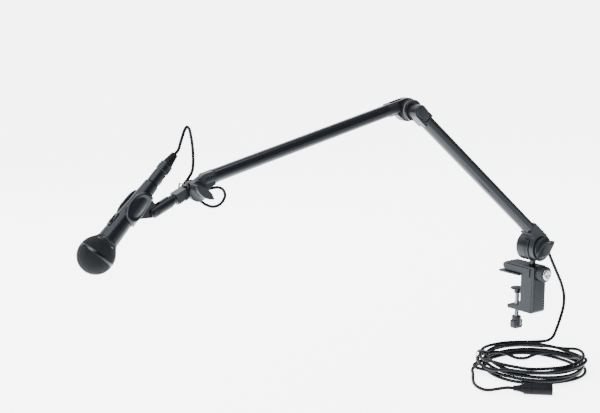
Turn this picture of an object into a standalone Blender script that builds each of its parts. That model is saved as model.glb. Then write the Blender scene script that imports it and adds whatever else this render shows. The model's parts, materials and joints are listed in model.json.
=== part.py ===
"""Vocal microphone in a clip, on a two-piece desk arm with a table clamp and a built-in cable.

Row frame: the origin is on the desk face of the clamp's pad, above the clamp screw. +Z is up,
+Y points in over the desk, and the arm reaches out along -X, so every arm hinge turns about Y.
Sizes are in millimetres and are turned into metres where a mesh or an object is made.
"""
import math

import bmesh
import bpy
from mathutils import Matrix, Vector

MM = 0.001
GAP = 0.3                       # clearance kept between touching pieces

# ---- driving dimensions -------------------------------------------------------------------
JAW_HALF_WIDTH = 15.5           # clamp casting, along X
BODY_OUTER_Y = -50.3            # outer face of the clamp
BODY_INNER_Y = -20.3            # wall that meets the desk's edge
CLAMP_TOP_Z = 19.5
JAW_UNDER_Z = 3.5
CLAMP_BOTTOM_Z = -64.0
LOCK_Z = 8.0                    # height of the post's lock screw
SCREW_RADIUS = 4.0              # clamp screw, M8
PLATE_TOP_Z = -27.5             # pressure plate at rest, on a 27.5 mm desk
FLOOR_Z = -146.5                # surface that the coiled cable lies on

POST_Y = -32.7
POST_RADIUS = 5.4
BASE_Z = 53.0                   # height of the base hinge
HUB_RADIUS = 25.0
HUB_FACE_Y = -41.6              # face of the swivel hub that the lower arm turns against

LOWER_ANGLE = 39.2              # lower tube above the horizontal
LOWER_SPAN = 384.8              # base hinge to elbow hinge, along the tube
LOWER_TUBE_RADIUS = 11.0
LOWER_TUBE_Y = -41.3
LOWER_BASE_OFFSET = 13.6        # tube axis above the base hinge
LOWER_ELBOW_OFFSET = 16.0       # elbow hinge above the base hinge, across the tube

UPPER_ANGLE = -12.4
UPPER_SPAN = 402.5
UPPER_TUBE_RADIUS = 10.0
UPPER_TUBE_Y = -15.3
UPPER_OFFSET = 9.0              # tube axis above both of its hinges
ELBOW_HUB_RADIUS = 18.6
ELBOW_LOWER_FACE = -32.3        # face of the lower arm's slab
ELBOW_HUB_FACE = -20.3          # face of the upper arm's hub
ELBOW_HUB_BACK = -7.3
HEAD_SPLIT_Y = -15.3            # the arm's disc is on the outer side, the head's eye on the inner

HEAD_ANGLE = -23.5
HEAD_SPAN = 67.2                # head hinge to clip tilt axis, along the stud
STUD_OFFSET = 4.7               # stud axis above the head hinge
HEAD_Y = UPPER_TUBE_Y           # head, clip and microphone share the upper tube's plane
KNOB_SMALL_RADIUS = 15.0
KNOB_LARGE_RADIUS = 20.0

MIC_ANGLE = 135.0               # microphone axis: tail up and to +X
TIE_ANGLE = 9.4                 # the cable tie's plane, off the vertical
TILT_ALONG = 98.0               # clip tilt axis, measured from the centre of the grille
TILT_ACROSS = 29.1
GRILLE_RADIUS = 25.0
HANDLE_FRONT_RADIUS = 14.75
HANDLE_TAIL_RADIUS = 10.1
HANDLE_TAIL = 123.0             # tail end of the handle, from the centre of the grille

CORD_RADIUS = 2.8                # main cable, below the elbow
LEAD_RADIUS = 2.2                # thinner lead, above the elbow
COIL_CENTRE = (-50.0, -82.0)
COIL_OUTER = 100.0
COIL_INNER = 62.0
COIL_HEIGHT = 18.0
COIL_TIE_HEADING = 129.0        # where the strap holds the coil, degrees from +X about its centre
END_PLUG_TIP = (-124.5, -192.7)  # mouth of the plug on the floor
END_PLUG_HEADING = -44.0         # direction of the mouth in the XY plane, degrees

# The cord leaves the lower arm beside the base hinge, turned a little off the tube.
MOUTH = (-22.6, 5.3, -47.5)
MOUTH_AIM = (26.7, 13.8, -47.5)
# The lead leaves the head sleeve's underside.
EXIT = (384.4, 3.2, -13.0)
EXIT_AIM = (379.6, -3.6, -12.9)

# Routes of the free cords, each point followed by the next.
MIC_LEAD_POINTS = [(-702.3, -15.6, 288.5), (-698.2, -15.6, 299.0), (-694.6, -14.8, 306.2), (-689.6, -12.6, 309.9),
                   (-683.8, -9.6, 306.0), (-679.6, -6.8, 295.8), (-677.0, -5.2, 286.0), (-675.2, -4.2, 272.0),
                   (-674.9, -3.8, 257.8), (-676.8, -3.4, 246.0), (-683.0, -3.2, 237.0), (-690.0, -3.1, 229.5),
                   (-696.4, -3.0, 220.7)]
LOOP_POINTS = [(-696.8, -3.0, 220.3), (-702.0, -2.6, 215.6), (-704.6, -1.0, 209.8), (-702.0, 1.2, 204.4),
               (-695.0, 2.6, 203.0), (-687.0, 3.2, 206.4), (-680.0, 2.4, 209.2), (-672.0, 0.8, 208.0),
               (-664.0, -1.5, 203.6), (-655.0, -4.5, 196.8), (-645.0, -7.5, 193.4), (-635.0, -10.5, 196.8),
               (-629.0, -13.0, 207.0), (-632.4, -14.4, 216.6), (-639.5, -14.5, 221.1), (-646.5, -14.1, 221.8),
               (-652.5, -13.5, 221.1)]
HANG_POINTS = [(32.5, -47.2, 27.0), (47.0, -47.2, 3.5), (61.5, -47.2, -20.5), (70.0, -47.2, -43.5),
               (69.8, -47.2, -64.5), (62.5, -47.2, -85.0), (53.5, -47.0, -104.0), (48.5, -45.0, -116.0),
               (44.0, -39.5, -124.0), (40.0, -31.0, -127.7)]
PLUG_LEAD_POINTS = [(-138.0, -26.0, -143.5), (-155.0, -46.5, -143.5), (-173.0, -64.0, -143.5),
                    (-190.0, -84.0, -143.5), (-198.0, -104.0, -143.4), (-195.5, -121.5, -142.3)]

MATERIALS = {
    "satin_black": ((0.030, 0.032, 0.036), 0.42, 0.35),
    "anodised_black": ((0.020, 0.022, 0.026), 0.28, 0.60),
    "black_plastic": ((0.018, 0.018, 0.020), 0.55, 0.0),
    "black_rubber": ((0.012, 0.012, 0.013), 0.70, 0.0),
    "chrome": ((0.80, 0.80, 0.82), 0.10, 1.0),
    "steel": ((0.55, 0.56, 0.58), 0.30, 1.0),
    "brass": ((0.72, 0.55, 0.28), 0.35, 1.0),
    "grille_black": ((0.025, 0.025, 0.028), 0.45, 0.6),
    "foam": ((0.020, 0.020, 0.020), 0.95, 0.0),
    "board_green": ((0.02, 0.12, 0.05), 0.60, 0.0),
    "fibre": ((0.25, 0.22, 0.17), 0.80, 0.0),
}


# ---- frames -------------------------------------------------------------------------------
def arm_frame(x, z, angle):
    """Local X runs along an arm, local Y across it, local Z is world +Y; the origin has Y = 0."""
    a = math.radians(angle)
    along = Vector((-math.cos(a), 0.0, math.sin(a)))
    across = Vector((math.sin(a), 0.0, math.cos(a)))
    turn = Matrix((along, across, Vector((0.0, 1.0, 0.0)))).transposed().to_4x4()
    return Matrix.Translation((x, 0.0, z)) @ turn


def spin_frame(frame, across, y):
    """A frame whose local Z is the arm's own direction, for pieces turned about a tube's axis."""
    return frame @ Matrix.Translation((0.0, across, y)) @ Matrix.Rotation(math.pi / 2, 4, "Y")


def upright(x, y):
    return Matrix.Translation((x, y, 0.0))


def aimed(frame, start, end):
    """A frame at start, in an arm's coordinates, whose local Z points at end."""
    axis = (Vector(end) - Vector(start)).normalized()
    return frame @ Matrix.Translation(start) @ axis.to_track_quat("Z", "Y").to_matrix().to_4x4()


BASE = arm_frame(0.0, BASE_Z, 0.0)
LOWER = arm_frame(0.0, BASE_Z, LOWER_ANGLE)
ELBOW_POINT = LOWER @ Vector((LOWER_SPAN, LOWER_ELBOW_OFFSET, 0.0))
UPPER = arm_frame(ELBOW_POINT.x, ELBOW_POINT.z, UPPER_ANGLE)
HEAD_POINT = UPPER @ Vector((UPPER_SPAN, 0.0, 0.0))
HEAD = arm_frame(HEAD_POINT.x, HEAD_POINT.z, HEAD_ANGLE)
TILT_POINT = HEAD @ Vector((HEAD_SPAN, STUD_OFFSET, HEAD_Y))
MIC_TURN = arm_frame(0.0, 0.0, MIC_ANGLE)
GRILLE_CENTRE = TILT_POINT - MIC_TURN @ Vector((TILT_ALONG, TILT_ACROSS, 0.0))
MIC = arm_frame(GRILLE_CENTRE.x, GRILLE_CENTRE.z, MIC_ANGLE)
MOUTH_FRAME = aimed(LOWER, MOUTH, MOUTH_AIM)
EXIT_FRAME = aimed(UPPER, EXIT, EXIT_AIM)
PLUG_TURN = Matrix.Rotation(math.radians(END_PLUG_HEADING), 4, "Z") @ Matrix.Rotation(math.pi / 2, 4, "Y")


# ---- scene helpers ------------------------------------------------------------------------
def clear_scene():
    for item in list(bpy.data.objects):
        bpy.data.objects.remove(item, do_unlink=True)


def material(name):
    found = bpy.data.materials.get(name)
    if found:
        return found
    colour, roughness, metallic = MATERIALS[name]
    made = bpy.data.materials.new(name)
    made.use_nodes = True
    shader = made.node_tree.nodes["Principled BSDF"]
    shader.inputs["Base Color"].default_value = (*colour, 1.0)
    shader.inputs["Roughness"].default_value = roughness
    shader.inputs["Metallic"].default_value = metallic
    return made


def pivot(name, point, parent=None):
    """An empty on a joint's axis; the pieces of one moving body hang from it."""
    empty = bpy.data.objects.new("pivot_" + name, None)
    empty.empty_display_size = 0.02
    bpy.context.scene.collection.objects.link(empty)
    place(empty, Matrix.Translation(point), parent)
    return empty


def place(item, frame, parent):
    """Set an object's world frame, given in millimetres, under a parent pivot that isn't turned."""
    world = frame.copy()
    world.translation = frame.translation * MM
    if parent:
        item.parent = parent
        world.translation -= Vector(parent["world"])
    item.matrix_basis = world
    if item.type == "EMPTY":
        item["world"] = tuple(frame.translation * MM)


def add_mesh(name, bm, frame, body, finish, smooth=True):
    bmesh.ops.recalc_face_normals(bm, faces=bm.faces)
    mesh = bpy.data.meshes.new(name)
    for vert in bm.verts:
        vert.co *= MM
    bm.to_mesh(mesh)
    bm.free()
    if smooth:
        mesh.shade_smooth()
        mesh.set_sharp_from_angle(angle=math.radians(35))
    item = bpy.data.objects.new(name, mesh)
    bpy.context.scene.collection.objects.link(item)
    place(item, frame, body)
    if finish:
        mesh.materials.append(material(finish))
    return item


# ---- solids -------------------------------------------------------------------------------
def turned(name, profile, frame, body, finish, closed=False, phase=0.0):
    """Turn (radius, height) points about local Z. A closed profile makes a ring with a bore."""
    bm = bmesh.new()
    steps = min(30, round(9 + 0.6 * max(radius for radius, _ in profile)))
    rings = []
    for radius, height in profile:
        if radius == 0:
            rings.append([bm.verts.new((0.0, 0.0, height))])
            continue
        angles = [2 * math.pi * (i + phase) / steps for i in range(steps)]
        rings.append([bm.verts.new((radius * math.cos(a), radius * math.sin(a), height)) for a in angles])
    pairs = list(zip(rings, rings[1:]))
    if closed:
        pairs.append((rings[-1], rings[0]))
    for low, high in pairs:
        for i in range(steps):
            j = (i + 1) % steps
            corners = [low[i % len(low)], low[j % len(low)], high[j % len(high)], high[i % len(high)]]
            bm.faces.new(list(dict.fromkeys(corners)))
    return add_mesh(name, bm, frame, body, finish)


def prism(name, outline, low, high, frame, body, finish, bevel=0.0):
    """Extrude an outline in local XY from low to high along local Z, with its rims bevelled."""
    bm = bmesh.new()
    bottom = [bm.verts.new((x, y, low)) for x, y in outline]
    top = [bm.verts.new((x, y, high)) for x, y in outline]
    bm.faces.new(bottom)
    bm.faces.new(top)
    for i in range(len(outline)):
        j = (i + 1) % len(outline)
        bm.faces.new((bottom[i], bottom[j], top[j], top[i]))
    if bevel:
        rims = [edge for edge in bm.edges if abs(edge.verts[0].co.z - edge.verts[1].co.z) < 1e-6]
        bmesh.ops.recalc_face_normals(bm, faces=bm.faces)
        bmesh.ops.bevel(bm, geom=rims, offset=bevel, segments=1, profile=0.5, affect="EDGES")
    return add_mesh(name, bm, frame, body, finish)


def lofted(name, sections, frame, body, finish):
    """Skin a row of equal sections, each a loop of points in local space, and cap both ends."""
    bm = bmesh.new()
    loops = [[bm.verts.new(point) for point in section] for section in sections]
    for low, high in zip(loops, loops[1:]):
        for i in range(len(low)):
            j = (i + 1) % len(low)
            bm.faces.new((low[i], low[j], high[j], high[i]))
    bm.faces.new(loops[0])
    bm.faces.new(loops[-1])
    return add_mesh(name, bm, frame, body, finish)


def combine(item, tool, operation):
    """Apply a boolean of item with a hidden tool object, by modifier."""
    tool.hide_render = True
    tool.display_type = "WIRE"
    step = item.modifiers.new("shape", "BOOLEAN")
    step.operation = operation
    step.solver = "EXACT"
    step.object = tool
    return item


def tool_prism(outline, low, high, frame, body):
    return prism("tool", outline, low, high, frame, body, None)


def tool_turned(profile, frame, body):
    """A turned boolean tool, its corners set between those of the solid that it meets."""
    return turned("tool", profile, frame, body, None, phase=0.3)


def rod_profile(radius, low, high):
    return [(0, low), (radius, low), (radius, high), (0, high)]


def ring_profile(outer, inner, low, high):
    return [(inner, low), (outer, low), (outer, high), (inner, high)]


# ---- outlines -----------------------------------------------------------------------------
def arc(centre, radius, start, end, steps):
    """Points on a circle from start to end, in degrees."""
    angles = [math.radians(start + (end - start) * i / steps) for i in range(steps + 1)]
    return [(centre[0] + radius * math.cos(a), centre[1] + radius * math.sin(a)) for a in angles]


def box_outline(x0, y0, x1, y1):
    return [(x0, y0), (x1, y0), (x1, y1), (x0, y1)]


def rounded_box(x0, y0, x1, y1, radius, steps=4):
    return (arc((x1 - radius, y0 + radius), radius, -90, 0, steps)
            + arc((x1 - radius, y1 - radius), radius, 0, 90, steps)
            + arc((x0 + radius, y1 - radius), radius, 90, 180, steps)
            + arc((x0 + radius, y0 + radius), radius, 180, 270, steps))


def lens_outline(half_length, half_width, heading, steps=8):
    """Two equal arcs that meet in points, with the long axis at a heading in degrees."""
    radius = (half_length ** 2 + half_width ** 2) / (2 * half_width)
    half_angle = math.degrees(math.asin(half_length / radius))
    drop = radius - half_width
    side = arc((0, -drop), radius, 90 - half_angle, 90 + half_angle, steps)[:-1]
    points = side + [(-x, -y) for x, y in side]
    c, s = math.cos(math.radians(heading)), math.sin(math.radians(heading))
    return [(x * c - y * s, x * s + y * c) for x, y in points]


def smooth_path(points, count):
    """Evenly numbered points on a Catmull-Rom curve through the route's own points."""
    knots = [Vector(p) for p in points]
    knots = [knots[0] * 2 - knots[1]] + knots + [knots[-1] * 2 - knots[-2]]
    spans = len(points) - 1
    path = []
    for step in range(count + 1):
        place_on = min(step * spans / count, spans - 1e-9)
        i, t = int(place_on), place_on - int(place_on)
        a, b, c, d = knots[i:i + 4]
        path.append(0.5 * (2 * b + (c - a) * t + (2 * a - 5 * b + 4 * c - d) * t ** 2
                           + (3 * b - a - 3 * c + d) * t ** 3))
    return path


def cord(name, points, count, body, finish="black_rubber", radius=CORD_RADIUS):
    """A round cord along a smooth route given in world millimetres."""
    curve = bpy.data.curves.new(name, "CURVE")
    curve.dimensions = "3D"
    curve.bevel_depth = radius * MM
    curve.bevel_resolution = 2
    curve.use_fill_caps = True
    path = smooth_path(points, count)
    spline = curve.splines.new("POLY")
    spline.points.add(len(path) - 1)
    origin = body["world"]
    for knot, point in zip(spline.points, path):
        knot.co = (*(point * MM - Vector(origin)), 1.0)
    item = bpy.data.objects.new(name, curve)
    bpy.context.scene.collection.objects.link(item)
    item.parent = body
    curve.materials.append(material(finish))
    return item


# ---- clamp --------------------------------------------------------------------------------
def clamp_outline():
    """C-shaped side view in (Y, Z): top jaw, back wall and lower jaw."""
    wall, outer = BODY_INNER_Y, BODY_OUTER_Y
    tip = arc((16.6, CLAMP_TOP_Z - 7.5), 6.0, -90, 90, 8)
    return (arc((outer + 3, CLAMP_TOP_Z - 3), 3, 180, 90, 3)
            + [(14.0, CLAMP_TOP_Z), (18.0, CLAMP_TOP_Z - 0.7)] + tip[::-1][1:-1]
            + [(19.6, JAW_UNDER_Z + 1.2), (16.0, JAW_UNDER_Z)]
            + [(wall, JAW_UNDER_Z)]
            + arc((wall + 10, -45.5), 10, 180, 262, 6)
            + [(9.4, -57.3), (9.4, -62.4), (7.6, CLAMP_BOTTOM_Z)]
            + arc((outer + 5, CLAMP_BOTTOM_Z + 5), 5, 270, 180, 4))


def build_clamp(body):
    side = Matrix(((0, 0, 1, 0), (1, 0, 0, 0), (0, 1, 0, 0), (0, 0, 0, 1)))
    frame = prism("clamp_frame", clamp_outline(), -JAW_HALF_WIDTH, JAW_HALF_WIDTH, side, body,
                  "satin_black", bevel=1.2)
    post_bore = tool_turned(rod_profile(POST_RADIUS + GAP, -24.5, 30), upright(0, POST_Y), body)
    combine(frame, post_bore, "DIFFERENCE")
    lock = arm_frame(0.0, LOCK_Z, 0.0)
    combine(frame, tool_turned(rod_profile(4.4, -60, POST_Y), lock, body), "DIFFERENCE")
    combine(frame, tool_turned(rod_profile(6.9, -70, -50), upright(0, 0), body), "DIFFERENCE")
    slot = tool_prism(rounded_box(-42.6, 1.0, -39.6, 15.5, 1.4, 3), -JAW_HALF_WIDTH - 1, -JAW_HALF_WIDTH + 1,
                      side, body)
    combine(frame, slot, "DIFFERENCE")
    prism("pad_plate", rounded_box(-20.5, -19.7, 20.5, 28.5, 3.0), 0.0, JAW_UNDER_Z - GAP, upright(0, 0),
          body, "black_plastic", bevel=0.6)
    bush = [(4.3, -64.0), (6.6, -64.0), (6.6, -57.6), (4.3, -57.6)]
    turned("screw_bush", bush, upright(0, 0), body, "brass", closed=True)


def build_lock_knob(body):
    lock = arm_frame(0.0, LOCK_Z, 0.0)
    knob = [(4.3, -65), (13, -65), (14, -64), (14, -51.6), (13.2, -50.7), (4.3, -50.7)]
    turned("lock_knob", knob, lock, body, "black_plastic", closed=True)
    screw = [(0, -68.2), (8.6, -68.2), (10, -67), (10, -65.3), (4.0, -65.3), (4.0, -40.2), (2.8, -38.5),
             (0, -38.5)]
    turned("lock_screw", screw, lock, body, "chrome")


def build_clamp_screw(plate_body, screw_body):
    top = PLATE_TOP_Z
    plate = [(0, top), (11.8, top), (12.5, top - 0.7), (12.5, top - 2.4), (5.9, top - 3.6), (5.9, top - 10.0),
             (4.4, top - 10.0), (4.4, top - 6.0), (0, top - 6.0)]
    turned("pressure_plate", plate, upright(0, 0), plate_body, "black_plastic")
    screw = [(0, top - 6.3), (3.2, top - 6.3), (SCREW_RADIUS, top - 7.1), (SCREW_RADIUS, -92), (0, -92)]
    turned("clamp_screw", screw, upright(0, 0), screw_body, "steel")
    boss = [(0, -97), (8.4, -97), (8.4, -80.5), (7.6, -79.7), (4.3, -79.7), (4.3, -92.4), (0, -92.4)]
    wing = turned("wing_knob", boss, upright(0, 0), screw_body, "black_plastic")
    side = arm_frame(0.0, 0.0, 0.0)
    blade = (arc((-6.5, -97.5), 4.5, -90, -180, 4) + [(-11.5, -88.0), (-9.5, -86.5), (9.5, -86.5), (11.5, -88.0)]
             + arc((7.0, -98.0), 4.5, 0, -90, 4))
    blade = [(-x, z) for x, z in blade]
    cutter = tool_prism(blade, -4.6, 4.6, side, screw_body)
    combine(wing, cutter, "UNION")
    combine(wing, tool_turned(rod_profile(4.3, -92.4, -75), upright(0, 0), screw_body), "DIFFERENCE")


# ---- swivel and base hinge ----------------------------------------------------------------
def build_swivel(body):
    post = [(0, -24.2), (5.0, -24.2), (POST_RADIUS, -23.8), (POST_RADIUS, LOCK_Z - 5), (4.9, LOCK_Z - 4.4),
            (4.9, LOCK_Z + 4.4), (POST_RADIUS, LOCK_Z + 5), (POST_RADIUS, 45), (0, 45)]
    turned("swivel_post", post, upright(0, POST_Y), body, "anodised_black")
    r, face = HUB_RADIUS, HUB_FACE_Y
    hub = [(8.8, -13.3), (r - 2.6, -13.3), (r - 0.8, -14.1), (r, -15.9), (r, -36.5), (r - 0.8, -36.9),
           (r, -37.3), (r, face + 0.8), (r - 0.8, face), (4.5, face), (4.5, -20.6), (8.8, -20.6)]
    solid = turned("swivel_hub", hub, BASE, body, "satin_black", closed=True)
    combine(solid, tool_turned(rod_profile(POST_RADIUS + GAP, 10, 45.4), upright(0, POST_Y), body), "DIFFERENCE")
    bolt = [(0, -14.6), (8.3, -14.6), (8.3, -20.3), (4.2, -20.3), (4.2, -60), (0, -60)]
    turned("base_bolt", bolt, BASE, body, "steel")


def build_wing_knob(name, frame, radius, levels, fin, bore, body):
    """A round clamping knob with a pointed-oval fin across it, blind-bored for its bolt.

    levels are the inner face, the disc's outer face and the fin's end; fin is the pointed oval's
    half length, half width and heading; bore is the bolt hole's radius and depth.
    """
    face, disc, outer = levels
    knob = turned(name, [(0, disc), (radius - 1, disc), (radius, disc + 1), (radius, face), (0, face)],
                  frame, body, "black_plastic")
    combine(knob, tool_prism(lens_outline(*fin), outer, disc + 1, frame, body), "UNION")
    combine(knob, tool_turned(rod_profile(bore[0], bore[1], face + 5), frame, body), "DIFFERENCE")


# ---- lower arm ----------------------------------------------------------------------------
def along_route(frame, points):
    return [frame @ Vector(p) for p in points]


def build_lower_base_fitting(body):
    """A slab beside the swivel hub, a full round neck above it, and a plug in the tube."""
    across, y, r = LOWER_BASE_OFFSET, LOWER_TUBE_Y, LOWER_TUBE_RADIUS
    slab = (arc((0, 0), 23.5, 88, 335, 26)
            + [(27.0, across - r), (43.5, across - r), (43.5, across + r), (6.0, across + r)])
    fitting = prism("lower_base_fitting", slab, y - r, HUB_FACE_Y - 1.1, LOWER, body, "satin_black", bevel=0.8)
    neck = [(0, 27.2), (r + 0.1, 27.2), (r + 0.1, 43.7), (r - 1.8, 43.7), (r - 1.8, 58.0), (0, 58.0)]
    combine(fitting, tool_turned(neck, spin_frame(LOWER, across, y), body), "UNION")
    combine(fitting, tool_turned(rod_profile(4.6, -60, -30), LOWER, body), "DIFFERENCE")
    mouth = [(0, -8), (5.2, -8), (5.2, -0.3), (4.3, -0.3), (4.3, 5.4), (3.6, 5.4), (3.6, 50), (0, 50)]
    combine(fitting, tool_turned(mouth, MOUTH_FRAME, body), "DIFFERENCE")
    rise = aimed(LOWER, (23.5, 13.3, -47.6), (62, 13.6, LOWER_TUBE_Y))
    combine(fitting, tool_turned(rod_profile(4.0, 0, 44), rise, body), "DIFFERENCE")
    grommet = [(3.1, -3.4), (4.6, -3.4), (4.8, -2.9), (4.8, -0.8), (4.0, -0.6), (4.0, 5.0), (3.1, 5.0)]
    turned("base_grommet", grommet, MOUTH_FRAME, body, "black_rubber", closed=True)


def build_lower_elbow_fitting(body):
    """A slab that carries the elbow pivot, a short neck and a plug in the tube."""
    across, y, r = LOWER_BASE_OFFSET, LOWER_TUBE_Y, LOWER_TUBE_RADIUS
    lift, span, face = LOWER_ELBOW_OFFSET, LOWER_SPAN, ELBOW_LOWER_FACE
    slab = (arc((span, lift - 1.8), 11.4, 100, -80, 16)
            + [(372.0, across - r), (360.6, across - r), (360.6, across + r), (372.0, across + r)])
    fitting = prism("lower_elbow_fitting", slab, y - r + 2.0, face, LOWER, body, "satin_black", bevel=0.8)
    neck = [(0, 346.0), (r - 1.8, 346.0), (r - 1.8, 360.3), (r + 0.1, 360.3), (r + 0.1, 365.4), (0, 365.4)]
    combine(fitting, tool_turned(neck, spin_frame(LOWER, across, y), body), "UNION")
    hinge = LOWER @ Matrix.Translation((span, lift, 0))
    combine(fitting, tool_turned(rod_profile(8.1, -60, -37.4), hinge, body), "DIFFERENCE")
    combine(fitting, tool_turned(rod_profile(6.7, -60, -25), hinge, body), "DIFFERENCE")
    way = aimed(LOWER, (342, 13.6, -42.2), (379, 15.2, -44.4))
    combine(fitting, tool_turned(rod_profile(4.0, 0, 37), way, body), "DIFFERENCE")
    cover = arc((span, lift - 1.6), 9.6, 100, -80, 10) + arc((span - 8, lift - 2.2), 9.6, -80, -260, 10)
    prism("elbow_cover", cover, y - r, y - r + 1.7, LOWER, body, "black_plastic", bevel=0.5)


def build_lower_arm(body):
    across, y, r = LOWER_BASE_OFFSET, LOWER_TUBE_Y, LOWER_TUBE_RADIUS
    turned("lower_tube", ring_profile(r, r - 1.5, 44.0, 360.0), spin_frame(LOWER, across, y), body,
           "anodised_black", closed=True)
    build_lower_base_fitting(body)
    build_lower_elbow_fitting(body)
    spacer = ring_profile(16.5, 6.9, -32.0, -28.3)
    hinge = LOWER @ Matrix.Translation((LOWER_SPAN, LOWER_ELBOW_OFFSET, 0))
    turned("elbow_spacer", spacer, hinge, body, "black_plastic", closed=True)
    inside = [MOUTH_FRAME @ Vector((0, 0, h)) for h in (-3.4, 12.0, 28.0)]
    inside += along_route(LOWER, [(22, 13.0, -47.4), (34, 13.4, -46.0), (50, 13.5, -43.3), (66, 13.6, y - 0.3),
                                  (140, 13.6, y), (240, 13.6, y), (330, 13.6, y), (352, 14.0, -42.8),
                                  (372, 14.9, -44.0), (381, 15.7, -44.6), (384.6, 16.0, -42.9),
                                  (384.8, 16.0, -38.5), (384.8, 16.0, -33.0), (384.8, 16.0, -26.9)])
    cord("lower_cord", inside, 48, body)


# ---- upper arm ----------------------------------------------------------------------------
def top_frame(frame):
    """Local X along the arm, local Z out of the arm's upper side, for slots and covers on top."""
    return frame @ Matrix.Rotation(-math.pi / 2, 4, "X")


def build_upper_elbow_fitting(body):
    """A hub disc under the tube's end, a round neck and a plug in the tube."""
    lift, y, r, hub = UPPER_OFFSET, UPPER_TUBE_Y, UPPER_TUBE_RADIUS, ELBOW_HUB_RADIUS
    slab = (arc((0, 0), hub, 100, 325, 26)
            + [(24.0, lift - r), (39.5, lift - r), (39.5, lift + r), (4.0, lift + r)])
    fitting = prism("upper_elbow_fitting", slab, ELBOW_HUB_FACE, ELBOW_HUB_BACK, UPPER, body, "satin_black",
                    bevel=1.2)
    neck = [(0, 21.0), (r + 0.1, 21.0), (r + 0.1, 39.7), (r - 1.8, 39.7), (r - 1.8, 54.0), (0, 54.0)]
    combine(fitting, tool_turned(neck, spin_frame(UPPER, lift, y), body), "UNION")
    combine(fitting, tool_turned(rod_profile(16.5, -24.2, -20.0), UPPER, body), "UNION")
    bore = [(0, -30), (6.7, -30), (6.7, -14.1), (7.4, -13.7), (7.4, -8.6), (0, -8.6)]
    combine(fitting, tool_turned(bore, UPPER, body), "DIFFERENCE")
    way = aimed(UPPER, (2, 0.9, -11.6), (60, 9, y))
    combine(fitting, tool_turned(rod_profile(3.1, 0, 58), way, body), "DIFFERENCE")
    top = top_frame(UPPER)
    slot = tool_prism(rounded_box(8.0, 10.8, 31.0, 16.8, 2.9, 5), lift + r - 2.6, lift + r + 4, top, body)
    combine(fitting, slot, "DIFFERENCE")


def build_upper_head_fitting(body):
    """A sleeve over the cord's exit that runs down to the outer disc of the head hinge."""
    lift, y, r, span = UPPER_OFFSET, UPPER_TUBE_Y, UPPER_TUBE_RADIUS, UPPER_SPAN
    disc = (arc((span, 0), 14.0, 70, -110, 18)
            + [(380.0, lift - r - 0.6), (372.0, lift - r), (372.0, lift + r), (386.0, lift + r + 0.4)])
    fitting = prism("upper_head_fitting", disc, y - 9.7, HEAD_SPLIT_Y - GAP, UPPER, body, "satin_black",
                    bevel=0.8)
    neck = [(0, 352.0), (r - 1.8, 352.0), (r - 1.8, 367.7), (r + 0.5, 367.7), (r + 0.5, 386.6), (r - 0.5, 388.0),
            (0, 388.0)]
    combine(fitting, tool_turned(neck, spin_frame(UPPER, lift, y), body), "UNION")
    hinge = UPPER @ Matrix.Translation((span, 0, 0))
    combine(fitting, tool_turned(rod_profile(3.3, -40, 0), hinge, body), "DIFFERENCE")
    combine(fitting, tool_turned(rod_profile(7.8, 350, 386.9), spin_frame(UPPER, lift, y), body), "DIFFERENCE")
    combine(fitting, tool_turned(rod_profile(2.7, 0, 16), EXIT_FRAME, body), "DIFFERENCE")
    bolt = [(0, -1.4), (6.8, -1.4), (6.8, -5.2), (3.0, -5.2), (3.0, -36), (0, -36)]
    turned("head_bolt", bolt, hinge, body, "steel")


def build_upper_arm(body):
    lift, y, r = UPPER_OFFSET, UPPER_TUBE_Y, UPPER_TUBE_RADIUS
    turned("upper_tube", ring_profile(r, r - 1.5, 40.0, 367.4), spin_frame(UPPER, lift, y), body,
           "anodised_black", closed=True)
    build_upper_elbow_fitting(body)
    build_upper_head_fitting(body)
    bush = [(3.4, -40.2), (7.8, -40.2), (7.8, -37.7), (6.4, -37.7), (6.4, -14.4), (3.4, -14.4)]
    turned("elbow_pivot", bush, UPPER, body, "steel", closed=True)
    turned("elbow_washer", ring_profile(15.6, 6.9, -28.0, -24.5), UPPER, body, "fibre", closed=True)
    inside = along_route(UPPER, [(0, 0, -26.6), (0, 0, -20.0), (0, 0, -15.5), (0.8, 0.3, -12.3), (4, 1.2, -11.7),
                                 (20, 3.4, -12.8), (40, 6.2, -14.0), (62, 9, y), (140, 9, y), (240, 9, y),
                                 (340, 9, y), (356, 10.4, -15.0), (369, 13.2, -14.0), (378, 13.6, -13.2),
                                 (382.6, 11.0, -13.0), (384.3, 7.0, -13.0)])
    inside += [EXIT_FRAME @ Vector((0, 0, h)) for h in (1.0, 5.0, 8.6)]
    cord("upper_cord", inside, 48, body, radius=LEAD_RADIUS)


# ---- head ---------------------------------------------------------------------------------
def build_head_block(body):
    """A square block on the stud's axis, with half its width carried on as the hinge's eye."""
    low, high = STUD_OFFSET - 7.1, STUD_OFFSET + 7.1
    inner, outer = HEAD_Y + 8.5, HEAD_Y - 8.5
    eye = arc((0, 0), 13.5, 60, 300, 18) + [(15.0, low), (20.0, low), (20.0, high), (9.0, high)]
    block = prism("head_block", eye, HEAD_SPLIT_Y + GAP, inner, HEAD, body, "satin_black", bevel=0.6)
    bar = [(14.6, low), (32.0, low), (32.0, high), (14.6, high)]
    combine(block, prism("tool", bar, outer, inner, HEAD, body, None, bevel=0.8), "UNION")
    combine(block, tool_turned(rod_profile(3.3, -40, 0), HEAD, body), "DIFFERENCE")
    combine(block, tool_turned(rod_profile(5.0, 22, 40), spin_frame(HEAD, STUD_OFFSET, HEAD_Y), body),
            "DIFFERENCE")
    notch = tool_prism(box_outline(20.5, low - 1, 25.5, low + 1.6), outer - 1, inner + 1, HEAD, body)
    combine(block, notch, "DIFFERENCE")


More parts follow.
